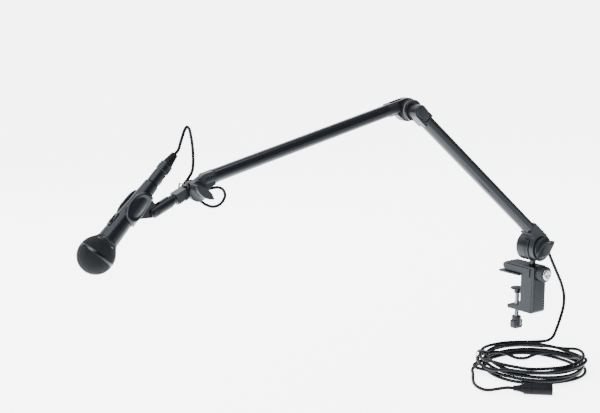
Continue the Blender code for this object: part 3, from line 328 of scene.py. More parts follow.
def prism(name, outline, low, high, base, sharp=32):
    """Extrude an outline in local XY from low to high along local Z."""
    bm = bmesh.new()
    bottom = [bm.verts.new((x, y, low)) for x, y in outline]
    top = [bm.verts.new((x, y, high)) for x, y in outline]
    bm.faces.new(bottom)
    bm.faces.new(top)
    for i in range(len(outline)):
        j = (i + 1) % len(outline)
        bm.faces.new((bottom[i], bottom[j], top[j], top[i]))
    return add_mesh(name, bm, base, sharp)


def lofted(name, sections, base, sharp=40):
    """Skin a row of equal sections, each a loop of points in local space, and cap both ends."""
    bm = bmesh.new()
    loops = [[bm.verts.new(point) for point in section] for section in sections]
    for low, high in zip(loops, loops[1:]):
        for i in range(len(low)):
            j = (i + 1) % len(low)
            bm.faces.new((low[i], low[j], high[j], high[i]))
    bm.faces.new(loops[0])
    bm.faces.new(loops[-1])
    return add_mesh(name, bm, base, sharp)


def rod(radius, low, high):
    return [(0, low), (radius, low), (radius, high), (0, high)]


def drill(radius, low, high, base):
    return turned("bore", rod(radius, low, high), base)


def ring(outer, inner, low, high):
    return [(inner, low), (outer, low), (outer, high), (inner, high)]


def rounded(profile, radius, steps=3):
    """Round each corner of a (radius, height) or (x, y) polygon by up to radius."""
    points = [Vector(p) for p in profile]
    out = []
    for i, corner in enumerate(points):
        before, after = points[i - 1], points[(i + 1) % len(points)]
        on_axis = corner.x == 0 and (before.x == 0 or after.x == 0)
        a, b = before - corner, after - corner
        reach = min(radius, a.length * 0.45, b.length * 0.45)
        if on_axis or a.length == 0 or b.length == 0:
            out.append(tuple(corner))
            continue
        start, end = corner + a.normalized() * reach, corner + b.normalized() * reach
        for step in range(steps + 1):
            t = step / steps
            out.append(tuple((1 - t) ** 2 * start + 2 * t * (1 - t) * corner + t ** 2 * end))
    return out


def combine(item, tools, operation):
    """Apply booleans to item and drop the tool objects."""
    for tool in tools if isinstance(tools, list) else [tools]:
        step = item.modifiers.new("shape", "BOOLEAN")
        step.operation, step.solver, step.object = operation, "EXACT", tool
        settle(item)
        bpy.data.objects.remove(tool, do_unlink=True)
    return item


def evaluated(item):
    """The mesh that an object's modifiers or bevelled curve make."""
    graph = bpy.context.evaluated_depsgraph_get()
    graph.update()
    return bpy.data.meshes.new_from_object(item.evaluated_get(graph))


def cut(item, tools):
    return combine(item, tools, "DIFFERENCE")


def join(item, tools):
    return combine(item, tools, "UNION")


def settle(item):
    """Apply an object's modifiers to its mesh."""
    mesh, old = evaluated(item), item.data
    item.modifiers.clear()
    item.data = mesh
    mesh.name = item.name
    bpy.data.meshes.remove(old)


def soften(item, width, segments=2, angle=34):
    """Round the sharp edges of a solid, as a casting's or a moulding's edges are."""
    bm = bmesh.new()
    bm.from_mesh(item.data)
    bmesh.ops.remove_doubles(bm, verts=bm.verts, dist=0.00001)
    bmesh.ops.dissolve_limit(bm, angle_limit=math.radians(0.5), verts=bm.verts, edges=bm.edges)
    bm.to_mesh(item.data)
    bm.free()
    step = item.modifiers.new("edges", "BEVEL")
    step.width, step.segments, step.limit_method = width * MM, segments, "ANGLE"
    step.angle_limit = math.radians(angle)
    step.use_clamp_overlap = True
    step.harden_normals = False
    settle(item)
    item.data.shade_smooth()
    item.data.set_sharp_from_angle(angle=math.radians(38))
    return item


def show(item, *nodes, finish=None, body=None):
    """Give a piece the finish and body of the CAD nodes that it stands for."""
    slot = finish or SLOT_OF[nodes[0]]
    item.data.materials.clear()
    item.data.materials.append(FINISH[slot])
    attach(item, body or BODY_OF[nodes[0]])
    if nodes:
        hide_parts(*nodes)
    return item


# ---- outlines ------------------------------------------------------------------------------
def arc(centre, radius, start, end, steps):
    angles = [math.radians(start + (end - start) * i / steps) for i in range(steps + 1)]
    return [(centre[0] + radius * math.cos(a), centre[1] + radius * math.sin(a)) for a in angles]


def box_outline(x0, y0, x1, y1):
    return [(x0, y0), (x1, y0), (x1, y1), (x0, y1)]


def rounded_box(x0, y0, x1, y1, radius, steps=6):
    return (arc((x1 - radius, y0 + radius), radius, -90, 0, steps)
            + arc((x1 - radius, y1 - radius), radius, 0, 90, steps)
            + arc((x0 + radius, y1 - radius), radius, 90, 180, steps)
            + arc((x0 + radius, y0 + radius), radius, 180, 270, steps))


def lens_outline(half_length, half_width, heading, steps=20):
    """Two equal arcs that meet in points, with the long axis at a heading in degrees."""
    radius = (half_length ** 2 + half_width ** 2) / (2 * half_width)
    half_angle = math.degrees(math.asin(half_length / radius))
    side = arc((0, half_width - radius), radius, 90 - half_angle, 90 + half_angle, steps)[:-1]
    points = side + [(-x, -y) for x, y in side]
    c, s = math.cos(math.radians(heading)), math.sin(math.radians(heading))
    return [(x * c - y * s, x * s + y * c) for x, y in points]


def ribbed_ring(radius, depth, teeth, height):
    """A loop with shallow round-topped ribs, as a section for a loft."""
    steps = teeth * 8
    wave = [radius - depth * (0.5 - 0.5 * math.cos(2 * math.pi * (i % 8) / 8)) for i in range(steps)]
    return [(r * math.cos(2 * math.pi * i / steps), r * math.sin(2 * math.pi * i / steps), height)
            for i, r in enumerate(wave)]


def crossed(half_length, half_width, low, high, base):
    """Cutters for the two crossed slots of a screw's head."""
    return [prism("slot", box_outline(-x, -y, x, y), low, high, base)
            for x, y in ((half_length, half_width), (half_width, half_length))]


def evenly(outline, count):
    """The same closed outline with its points evenly spaced."""
    points = np.array(outline + outline[:1])
    length = np.concatenate([[0.0], np.cumsum(np.linalg.norm(np.diff(points, axis=0), axis=1))])
    at = np.linspace(0.0, length[-1], count, endpoint=False)
    columns = [np.interp(at, length, points[:, i]) for i in (0, 1)]
    return [(float(x), float(y)) for x, y in zip(*columns)]


# ---- soft helpers for castings and mouldings -----------------------------------------------
def cast(item, voxel, smooth):
    """Remesh a joined solid finely and relax it, which rounds its edges as a casting's are."""
    step = item.modifiers.new("skin", "REMESH")
    step.mode, step.voxel_size, step.adaptivity = "VOXEL", voxel * MM, 0.0
    settle(item)
    relax = item.modifiers.new("relax", "SMOOTH")
    relax.factor, relax.iterations = 0.5, smooth
    settle(item)
    item.data.shade_smooth()
    return item


def threaded(name, radius, depth, pitch, low, high, base):
    """A rod with a rolled thread that fades out at both ends."""
    steps, rows_per_turn = 40, 8
    rows = int((high - low) / pitch * rows_per_turn)
    sections = []
    for row in range(rows + 1):
        height = low + (high - low) * row / rows
        fade = min(1.0, (height - low) / pitch, (high - height) / pitch)
        section = []
        for i in range(steps):
            phase = (height / pitch - i / steps) % 1.0
            cut = depth * (1.0 - abs(2.0 * phase - 1.0)) * fade + depth * 0.8 * (1.0 - fade)
            a = 2 * math.pi * i / steps
            section.append(((radius - cut) * math.cos(a), (radius - cut) * math.sin(a), height))
        sections.append(section)
    return lofted(name, sections, base, 50)


def smooth_path(points, count):
    """Evenly numbered points on a Catmull-Rom curve through the route's own points."""
    knots = [Vector(p) for p in points]
    knots = [knots[0] * 2 - knots[1]] + knots + [knots[-1] * 2 - knots[-2]]
    spans = len(points) - 1
    path = []
    for step in range(count + 1):
        place_on = min(step * spans / count, spans - 1e-9)
        i, t = int(place_on), place_on - int(place_on)
        a, b, c, d = knots[i:i + 4]
        path.append(0.5 * (2 * b + (c - a) * t + (2 * a - 5 * b + 4 * c - d) * t ** 2
                           + (3 * b - a - 3 * c + d) * t ** 3))
    return path


def tube(name, path, radius, resolution=4):
    """A round cord along a row of points, as a mesh with closed ends."""
    curve = bpy.data.curves.new(name + "_line", "CURVE")
    curve.dimensions, curve.bevel_depth, curve.bevel_resolution = "3D", radius * MM, resolution
    curve.use_fill_caps = True
    spline = curve.splines.new("POLY")
    spline.points.add(len(path) - 1)
    for knot, point in zip(spline.points, path):
        knot.co = (*(Vector(point) * MM), 1.0)
    line = placed(name + "_line", curve)
    mesh = evaluated(line)
    bpy.data.objects.remove(line, do_unlink=True)
    mesh.name = name
    mesh.shade_smooth()
    mesh.set_sharp_from_angle(angle=math.radians(60))
    return placed(name, mesh)


# ---- cords ---------------------------------------------------------------------------------
MIC_LEAD_POINTS = [
    (-702.3, -15.6, 288.5), (-698.2, -15.6, 299.0), (-694.6, -14.8, 306.2), (-689.6, -12.6, 309.9),
    (-683.8, -9.6, 306.0), (-679.6, -6.8, 295.8), (-677.0, -5.2, 286.0), (-675.2, -4.2, 272.0),
    (-674.9, -3.8, 257.8), (-676.8, -3.4, 246.0), (-683.0, -3.2, 237.0), (-690.0, -3.1, 229.5),
    (-696.4, -3.0, 220.7)]
LOOP_POINTS = [
    (-696.8, -3.0, 220.3), (-702.0, -2.6, 215.6), (-704.6, -1.0, 209.8), (-702.0, 1.2, 204.4),
    (-695.0, 2.6, 203.0), (-687.0, 3.2, 206.4), (-680.0, 2.4, 209.2), (-672.0, 0.8, 208.0),
    (-664.0, -1.5, 203.6), (-655.0, -4.5, 196.8), (-645.0, -7.5, 193.4), (-635.0, -10.5, 196.8),
    (-629.0, -13.0, 207.0), (-632.4, -14.4, 216.6), (-639.5, -14.5, 221.1), (-646.5, -14.1, 221.8),
    (-652.5, -13.5, 221.1)]
HANG_POINTS = [
    (32.5, -47.2, 27.0), (47.0, -47.2, 3.5), (61.5, -47.2, -20.5), (70.0, -47.2, -43.5),
    (69.8, -47.2, -64.5), (62.5, -47.2, -85.0), (53.5, -47.0, -104.0), (48.5, -45.0, -116.0),
    (44.0, -39.5, -124.0), (40.0, -31.0, -127.7)]
PLUG_LEAD_POINTS = [
    (-138.0, -26.0, -143.5), (-155.0, -46.5, -143.5), (-173.0, -64.0, -143.5), (-190.0, -84.0, -143.5),
    (-198.0, -104.0, -143.4), (-195.5, -121.5, -142.3)]
COIL_CENTRE = (-50.0, -82.0)
COIL_TIE_HEADING = 129.0
# One row for each turn, from the hanging end: mean radius, shift of its centre, heading of that
# shift, how far it springs up, and the heading where it does.
COIL_TURNS = [
    (88.0, 6.0, 60.0, 0.0, 55.0), (86.0, 7.0, 20.0, 9.0, 70.0), (82.0, 9.0, 330.0, 4.0, 50.0),
    (79.0, 6.0, 240.0, 0.0, 40.0), (85.0, 6.0, 300.0, 0.0, 20.0), (80.0, 7.0, 200.0, 0.0, 0.0),
    (84.0, 5.0, 350.0, 0.0, 0.0), (86.0, 4.0, 120.0, 0.0, 0.0)]
DIP_TURN, BOW_TURN = 3.12, 4.33  # where one strand dips into the ring and one bows out of it
COIL_STEPS = 180                 # points worked out for each turn
COIL_PITCH = 2 * MAIN_RADIUS + 0.15


def near(heading, centre, width):
    """1 at a heading, falling to 0 at width degrees away from it."""
    gap = np.abs((heading - centre + 180.0) % 360.0 - 180.0)
    return np.where(gap < width, 0.5 + 0.5 * np.cos(np.pi * np.minimum(gap / width, 1.0)), 0.0)


def coil_plan():
    """The coil's points as seen from above, from the hanging end to the plug's lead, and their lift."""
    x, y = COIL_CENTRE
    first = Vector(HANG_POINTS[-1][:2]) - Vector((x, y))
    last = Vector(PLUG_LEAD_POINTS[0][:2]) - Vector((x, y))
    start = math.degrees(math.atan2(first.y, first.x))
    end = math.degrees(math.atan2(last.y, last.x)) + 360.0 * (len(COIL_TURNS) - 2)
    heading = np.linspace(start, end, int((end - start) / 360.0 * COIL_STEPS))
    turn = (heading - start) / 360.0
    rows = np.array(COIL_TURNS)
    mean, shift, aim, rise, peak = [np.interp(turn, range(len(rows)), rows[:, i]) for i in range(5)]
    radius = mean + shift * np.cos(np.radians(heading - aim))
    radius += 1.6 * np.cos(np.radians(2.7 * heading + 40.0)) + 1.1 * np.cos(np.radians(4.3 * heading))
    gather = 0.35 * near(heading, COIL_TIE_HEADING, 40.0)
    radius = radius * (1 - gather) + 85.0 * gather
    dip = 26.0 * near(heading, 62.0, 62.0) * near(turn * 360.0, DIP_TURN * 360.0, 170.0)
    radius -= dip * (np.abs(turn - DIP_TURN) < 0.5)
    radius += 17.0 * near(heading, 150.0, 24.0) * (np.abs(turn - BOW_TURN) < 0.3)
    radius += (first.length - radius) * np.exp((start - heading) / 10.0)
    radius += (last.length - radius) * np.exp((heading - end) / 16.0)
    lift = rise * near(heading, 60.0, 85.0)
    a = np.radians(heading)
    return np.stack([x + radius * np.cos(a), y + radius * np.sin(a)], axis=1), lift


def lay_down(plan, lift):
    """Heights of the coil's points, each turn let down onto the ones wound below it."""
    count = len(plan)
    order = np.arange(count)
    gap = np.linalg.norm(plan[:, None] - plan[None], axis=2)
    over = (gap < COIL_PITCH) & (order[None] - order[:, None] > COIL_STEPS // 4)
    upper, lower = np.nonzero(over)
    step_up = np.sqrt(COIL_PITCH ** 2 - gap[upper, lower] ** 2)
    reach = 9
    kernel = 0.5 + 0.5 * np.cos(np.pi * np.arange(-reach, reach + 1) / (reach + 1))
    kernel /= kernel.sum()
    rest = FLOOR_Z + MAIN_RADIUS + 0.4
    height = np.full(count, rest)
    for _ in range(len(COIL_TURNS) + 2):
        need = np.full(count, rest)
        np.maximum.at(need, upper, height[lower] + step_up)
        need += lift
        padded = np.pad(need, reach, mode="edge")
        wide = np.max([padded[i:i + count] for i in range(2 * reach + 1)], axis=0)
        height = np.convolve(np.pad(wide, reach, mode="edge"), kernel, mode="valid")
    return height


def relaxed(points, first, last, passes):
    """Ease a stretch of a path, where two parts of a route meet."""
    points = np.array(points)
    for _ in range(passes):
        middle = (points[first - 1:last - 1] + points[first + 1:last + 1]) / 2
        points[first:last] = points[first:last] * 0.5 + middle * 0.5
    return points


def main_cable_path():
    hang = smooth_path(on_axis(MOUTH_FRAME, -3.8, -9.0) + HANG_POINTS, 110)
    plan, lift = coil_plan()
    height = lay_down(plan, lift)
    fade = np.exp(-np.arange(len(plan)) / 9.0)
    height += (HANG_POINTS[-1][2] - height[0]) * fade
    coil = np.column_stack([plan, height])
    lead = smooth_path([tuple(coil[-1])] + PLUG_LEAD_POINTS[1:] + on_axis(END_PLUG, -74.0, -62.3), 110)
    hang, lead = [np.array([tuple(p) for p in part]) for part in (hang, lead)]
    path = np.vstack([hang[:-1], coil, lead[1:]])
    for join in (len(hang) - 1, len(hang) - 1 + len(coil)):
        path = relaxed(path, join - 14, join + 14, 40)
    return path


def run_cord(nodes, path, radius):
    """A cord along a path, standing for its CAD nodes, left unparented and baked in world space."""
    cord = show(tube(nodes[0] + "_run", path, radius), *nodes)
    cord.parent = None
    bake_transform(cord)


def make_cords():
    run_cord(["main_cable", "cable_coil", "plug_lead"], main_cable_path(), MAIN_RADIUS)
    path = smooth_path(on_axis(MIC_AXIS, 174.9, 183.0) + MIC_LEAD_POINTS, 96)
    run_cord(["mic_lead"], path, LEAD_RADIUS)
    path = smooth_path(LOOP_POINTS + on_axis(EXIT_FRAME, 11.6, 8.9), 120)
    run_cord(["service_loop"], path, LEAD_RADIUS)


# ---- clamp ---------------------------------------------------------------------------------
JAW_HALF_WIDTH, OUTER_Y, WALL_Y = 15.5, -50.3, -20.3
CLAMP_TOP, CLAMP_BOTTOM, JAW_UNDER = 19.5, -64.0, 3.5


def clamp_outline():
    """C-shaped side view in (Y, Z): top jaw, back wall and lower jaw."""
    tip = arc((16.6, CLAMP_TOP - 7.5), 6.0, -90, 90, 14)
    return (arc((OUTER_Y + 3, CLAMP_TOP - 3), 3, 180, 90, 6) + [(14.0, CLAMP_TOP), (18.0, CLAMP_TOP - 0.7)]
            + tip[::-1][1:-1] + [(19.6, JAW_UNDER + 1.2), (16.0, JAW_UNDER), (WALL_Y, JAW_UNDER)]
            + arc((WALL_Y + 10, -45.5), 10, 180, 262, 12) + [(9.4, -57.3), (9.4, -62.4), (7.6, CLAMP_BOTTOM)]
            + arc((OUTER_Y + 5, CLAMP_BOTTOM + 5), 5, 270, 180, 8))


def make_clamp():
    lock = arm_frame(Vector((0, 0, LOCK_Z)), 0.0)
    casting = soften(prism("clamp_casting", clamp_outline(), -JAW_HALF_WIDTH, JAW_HALF_WIDTH, SIDE), 1.8, 5)
    cuts = [drill(5.7, -24.5, 30, upright(0, POST_Y)), drill(4.4, -60, POST_Y, lock),
            drill(6.9, -70, -50, upright(0, 0)),
            prism("slot", rounded_box(-42.6, 1.0, -39.6, 15.5, 1.4),
                  -JAW_HALF_WIDTH - 1, -JAW_HALF_WIDTH + 2.4, SIDE)]
    for side in (-1, 1):
        edge = side * JAW_HALF_WIDTH
        low, high = min(edge, edge - side * 1.0), max(edge, edge - side * 1.0)
        cuts.append(prism("seam", box_outline(-47.0, -60.5, -45.8, 16.9), low - 0.01, high + 0.01, SIDE))
        cuts.append(prism("seam", box_outline(-47.0, 15.7, 13.0, 16.9), low - 0.01, high + 0.01, SIDE))
        face = box_outline(side * 12.6 - 0.55, -60.0, side * 12.6 + 0.55, 17.5)
        cuts.append(prism("seam", face, OUTER_Y - 0.01, OUTER_Y + 0.9, STAND))
    cut(casting, cuts)
    show(cast(casting, 0.4, 3), "clamp_frame")
    plate = prism("pad_top", rounded_box(-20.5, -19.7, 20.5, 28.5, 3.0), 1.5, JAW_UNDER - 0.3, upright(0, 0))
    ribs = [(x * (1 - 0.010 * (i % 2)), y * (1 - 0.010 * (i % 2)) + 0.04 * (i % 2))
            for i, (x, y) in enumerate(evenly(rounded_box(-20.3, -19.5, 20.3, 28.3, 3.0), 128))]
    join(plate, prism("ribs", ribs, 0.0, 1.51, upright(0, 0)))
    show(soften(plate, 0.25), "pad_plate")
    rows = [(-65.0, 0.90), (-64.7, 0.95), (-64.0, 0.985), (-63.0, 1.0), (-52.2, 1.0), (-51.2, 0.98),
            (-50.7, 0.94)]
    grip = [ribbed_ring(14.0 * scale, 0.45, 36, height) for height, scale in rows]
    knob = lofted("lock_grip", grip, lock)
    show(cut(knob, drill(4.3, -66, -50, lock)), "lock_knob")
    head = [(0, -68.2), (7.8, -68.0), (10, -66.6), (10, -65.3), (4.0, -65.3), (4.0, -40.2), (2.8, -38.5),
            (0, -38.5)]
    screw = turned("lock_cap", rounded(head, 0.7, 5), lock)
    show(cut(screw, crossed(5.8, 1.1, -70, -67.3, lock)), "lock_screw")
    show(threaded("clamp_spindle", 4.0, 0.62, 1.25, -92.0, -33.8, upright(0, 0)), "clamp_screw")
    foot = [(0, -27.5), (11.8, -27.5), (12.5, -28.2), (12.5, -29.9), (5.9, -31.1), (5.9, -37.5),
            (4.4, -37.5), (4.4, -33.5), (0, -33.5)]
    show(turned("pressure_foot", rounded(foot, 0.5), upright(0, 0)), "pressure_plate")
    boss = [(0, -97), (8.4, -97), (8.4, -80.5), (7.6, -79.7), (4.3, -79.7), (4.3, -92.4), (0, -92.4)]
    wing = turned("wing_grip", rounded(boss, 0.6), upright(0, 0))
    blade = (arc((-6.5, -97.5), 4.5, -90, -180, 8)
             + [(-11.5, -88.0), (-9.5, -86.5), (9.5, -86.5), (11.5, -88.0)]
             + arc((7.0, -98.0), 4.5, 0, -90, 8))
    join(wing, prism("blade", [(-x, z) for x, z in blade], -4.6, 4.6, BASE_FLAT))
    cut(wing, drill(4.3, -92.4, -75, upright(0, 0)))
    show(cast(wing, 0.35, 4), "wing_knob")


# ---- swivel, knobs and lower arm -----------------------------------------------------------
def make_swivel():
    post = [(0, -24.2), (5.0, -24.2), (5.4, -23.8), (5.4, LOCK_Z - 5), (4.9, LOCK_Z - 4.4),
            (4.9, LOCK_Z + 4.4), (5.4, LOCK_Z + 5), (5.4, 45), (0, 45)]
    show(turned("post_pin", rounded(post, 0.2), upright(0, POST_Y)), "swivel_post", finish="black_tube")
    r, face = HUB_RADIUS, HUB_FACE_Y
    hub = [(8.8, -13.3), (r - 2.6, -13.3), (r, -15.9), (r, -33.2), (r - 0.7, -33.6), (r - 0.7, -34.2),
           (r, -34.6), (r, -36.5), (r - 0.8, -36.9), (r - 0.8, -37.4), (r, -37.8), (r, face + 0.8),
           (r - 0.8, face), (4.5, face), (4.5, -20.6), (8.8, -20.6)]
    drum = turned("hub_drum", rounded(hub, 0.5), BASE, closed=True)
    bore = drill(5.7, 10, 45.4, upright(0, POST_Y))
    show(cut(drum, bore), "swivel_hub")


def wing_knob(name, node, base, radius, levels, fin, bore):
    """A disc that flares up into a pointed-oval fin; levels are its inner face, disc face and outer end."""
    face, disc, outer = levels
    half_length, half_width, heading = fin
    steps, flare = 26, 5.6
    oval = lens_outline(half_length, half_width, heading, steps)
    around = [math.radians(heading + 180 * i / steps) for i in range(2 * steps)]
    circle = [(math.cos(a), math.sin(a)) for a in around]
    rows = [(outer, 0.90, 0.0), (outer + 0.3, 0.96, 0.0), (outer + 0.9, 1.0, 0.0), (disc - flare, 1.0, 0.0)]
    rows += [(disc - flare * (1 - t), 1.0, 1 - math.sqrt(1 - (t * 0.985) ** 2))
             for t in [i / 12 for i in range(1, 13)]]
    sections = []
    for height, scale, mix in rows:
        sections.append([(ox * scale * (1 - mix) + cx * (radius - 0.8) * mix,
                          oy * scale * (1 - mix) + cy * (radius - 0.8) * mix, height)
                         for (ox, oy), (cx, cy) in zip(oval, circle)])
    for height, r in ((disc + 0.1, radius - 0.6), (disc + 0.5, radius - 0.15), (disc + 1.0, radius),
                      (face - 0.6, radius), (face - 0.2, radius - 0.2), (face, radius - 0.6)):
        sections.append([(cx * r, cy * r, height) for cx, cy in circle])
    knob = lofted(name, sections, base, 28)
    show(cut(knob, drill(bore[0], bore[1], face + 5, base)), node)


def make_lower_arm():
    across, y, r = LOWER_OFFSET, LOWER_TUBE_Y, LOWER_RADIUS
    spin = spin_frame(LOWER, across, y)
    show(turned("lower_boom", ring(r, r - 1.5, 44.0, 360.0), spin, closed=True, steps=96), "lower_tube")
    slab = (arc((0, 0), 23.5, 88, 335, 60)
            + [(27.0, across - r), (43.5, across - r), (43.5, across + r), (6.0, across + r)])
    fitting = prism("base_elbow", slab, y - r, HUB_FACE_Y - 1.1, LOWER)
    neck = [(0, 27.2), (r + 0.1, 27.2), (r + 0.1, 43.7), (r - 1.8, 43.7), (r - 1.8, 58.0), (0, 58.0)]
    shoulder = (arc((0, 0), 26.2, 64, -5, 30)
                + [(27.2, across - r), (43.5, across - r), (43.5, across + r), (13.0, across + r)])
    join(fitting, [turned("neck", neck, spin), prism("shoulder", shoulder, -42.8, -30.6, LOWER)])
    mouth = [(0, -8), (5.2, -8), (5.2, -0.3), (4.3, -0.3), (4.3, 5.4), (3.6, 5.4), (3.6, 50), (0, 50)]
    rise = aimed(LOWER, (23.5, 13.3, -47.6), (62, 13.6, y))
    cut(fitting, [drill(4.6, -60, -30, LOWER), turned("bore", mouth, MOUTH_FRAME),
                      drill(4.0, 0, 44, rise)])
    show(cast(fitting, 0.4, 3), "lower_base_fitting")
    grommet = [(3.1, -3.4), (4.6, -3.4), (4.8, -2.9), (4.8, -0.8), (4.0, -0.6), (4.0, 5.0), (3.1, 5.0)]
    show(turned("outlet_grommet", rounded(grommet, 0.3), MOUTH_FRAME, closed=True), "base_grommet")
    make_lower_elbow(across, y, r, spin)


def make_lower_elbow(across, y, r, spin):
    lift, span = LOWER_LIFT, LOWER_SPAN
    slab = (arc((span, lift - 1.8), 11.4, 100, -80, 30)
            + [(372.0, across - r), (360.6, across - r), (360.6, across + r), (372.0, across + r)])
    fitting = prism("lower_elbow", slab, y - r + 2.0, -32.3, LOWER)
    neck = [(0, 346.0), (r - 1.8, 346.0), (r - 1.8, 360.3), (r + 0.1, 360.3), (r + 0.1, 365.4), (0, 365.4)]
    join(fitting, turned("neck", neck, spin))
    hinge = LOWER @ Matrix.Translation((span, lift, 0))
    way = aimed(LOWER, (342, 13.6, -42.2), (379, 15.2, -44.4))
    cut(fitting, [drill(8.1, -60, -37.4, hinge), drill(6.7, -60, -25, hinge),
                      drill(4.0, 0, 37, way)])
    show(cast(fitting, 0.35, 3), "lower_elbow_fitting")
    cover = (arc((span + 2.0, lift - 1.4), 9.2, 100, -80, 24)
             + arc((span - 11.0, lift - 2.0), 6.6, -80, -260, 24))
    lid = soften(prism("elbow_lid", cover, y - r, y - r + 1.7, LOWER), 0.5, 3)
    show(lid, "elbow_cover", finish="black_fitting")
    ribs = [(16.5, -32.0), (16.5, -31.0), (15.9, -30.8), (15.9, -30.4), (16.5, -30.2), (16.5, -29.4),
            (15.9, -29.2), (15.9, -28.8), (16.5, -28.6), (16.5, -28.3), (6.9, -28.3), (6.9, -32.0)]
    show(turned("elbow_collar", ribs, hinge, closed=True), "elbow_spacer")


# ---- upper arm and head --------------------------------------------------------------------
def make_upper_arm():
    lift, y, r, span = UPPER_OFFSET, HEAD_Y, UPPER_RADIUS, UPPER_SPAN
    spin = spin_frame(UPPER, lift, y)
    show(turned("upper_boom", ring(r, r - 1.5, 40.0, 367.4), spin, closed=True, steps=96), "upper_tube")
    slab = (arc((0, 0), 18.6, 100, 325, 50)
            + [(24.0, lift - r), (39.5, lift - r), (39.5, lift + r), (4.0, lift + r)])
    fitting = prism("upper_elbow", slab, -20.3, -7.3, UPPER)
    neck = [(0, 21.0), (r + 0.1, 21.0), (r + 0.1, 39.7), (r - 1.8, 39.7), (r - 1.8, 54.0), (0, 54.0)]
    join(fitting, [turned("neck", neck, spin), turned("collar", rod(16.5, -24.2, -20.0), UPPER)])
    bore = [(0, -30), (6.7, -30), (6.7, -14.1), (7.4, -13.7), (7.4, -8.6), (0, -8.6)]
    top = UPPER @ Matrix.Rotation(-math.pi / 2, 4, "X")
    cuts = [turned("bore", bore, UPPER), drill(3.1, 0, 58, aimed(UPPER, (2, 0.9, -11.6), (60, 9, y))),
            prism("slot", rounded_box(8.0, 10.8, 31.0, 16.8, 2.9), lift + r - 2.6, lift + r + 4, top)]
    show(cast(cut(fitting, cuts), 0.35, 3), "upper_elbow_fitting")
    liner = prism("slot_floor", rounded_box(7.6, 10.4, 31.4, 17.2, 3.2), lift + r - 2.9, lift + r - 2.2, top)
    show(liner, finish="clip_plastic", body="upper_arm")

    disc = (arc((span, 0), 14.0, 70, -110, 36)
            + [(380.0, lift - r - 0.6), (372.0, lift - r), (372.0, lift + r), (386.0, lift + r + 0.4)])
    sleeve = prism("head_sleeve", disc, y - 9.7, HEAD_Y - 0.3, UPPER)
    neck = [(0, 352.0), (r - 1.8, 352.0), (r - 1.8, 367.7), (r + 0.5, 367.7), (r + 0.5, 386.6),
            (r - 0.5, 388.0), (0, 388.0)]
    join(sleeve, turned("neck", neck, spin))
    hinge = UPPER @ Matrix.Translation((span, 0, 0))
    cut(sleeve, [drill(3.3, -40, 0, hinge), drill(7.8, 350, 386.9, spin),
                     drill(2.7, 0, 16, EXIT_FRAME)])
    show(cast(sleeve, 0.35, 3), "upper_head_fitting")


def make_head():
    low, high = STUD_LIFT - 7.1, STUD_LIFT + 7.1
    inner, outer = HEAD_Y + 8.5, HEAD_Y - 8.5
    axis = spin_frame(HEAD, STUD_LIFT, HEAD_Y)
    eye = arc((0, 0), 13.5, 60, 300, 40) + [(15.0, low), (20.0, low), (20.0, high), (9.0, high)]
    block = prism("hinge_block", eye, HEAD_Y + 0.3, inner, HEAD)
    join(block, prism("bar", box_outline(14.6, low, 32.0, high), outer, inner, HEAD))
    hollow = turned("hollow", rod(14.9, outer - 1, HEAD_Y - 0.3), HEAD)
    notch = prism("notch", rounded_box(20.5, low - 2, 25.5, low + 1.8, 1.0), outer - 1, inner + 1, HEAD)
    cut(block, [hollow, drill(3.3, -40, 0, HEAD), drill(5.0, 22, 40, axis), notch])
    show(cast(block, 0.3, 3), "head_block")
    show(threaded("clip_stud", 4.7, 0.55, 1.0, 22.4, 52.7, axis), "head_stud", finish="clip_plastic")
    flange = [(5.0, 32.3), (8.2, 32.3), (8.2, 34.6), (6.6, 35.0), (6.6, 37.0), (7.5, 37.3), (7.5, 40.2),
              (5.0, 40.2)]
    show(turned("lock_washer", rounded(flange, 0.4), axis, closed=True), "lock_ring")
    make_cable_tie()
    make_socket(axis)


def make_cable_tie():
    low, high, inner, outer, thick = -10.9, 8.7, HEAD_Y + 14.9, HEAD_Y - 8.8, 1.1
    base = arm_frame(HEAD_POINT + Vector((-15.6, 0, 0)), TIE_ANGLE) @ SIDE
    around = rounded_box(low - thick, outer - thick, high + thick, inner + thick, 2.4)
    strap = prism("tie_strap", around, -1.2, 1.2, base)
    lock = rounded_box(high - 0.4, outer - thick, high + 3.6, outer + 3.6, 0.8)
    buckle = prism("buckle", lock, -1.4, 2.6, base)
    join(strap, buckle)
    opening = prism("opening", rounded_box(low, outer, high, inner, 1.4), -6, 6, base)
    show(cast(cut(strap, opening), 0.25, 2), "cable_tie")


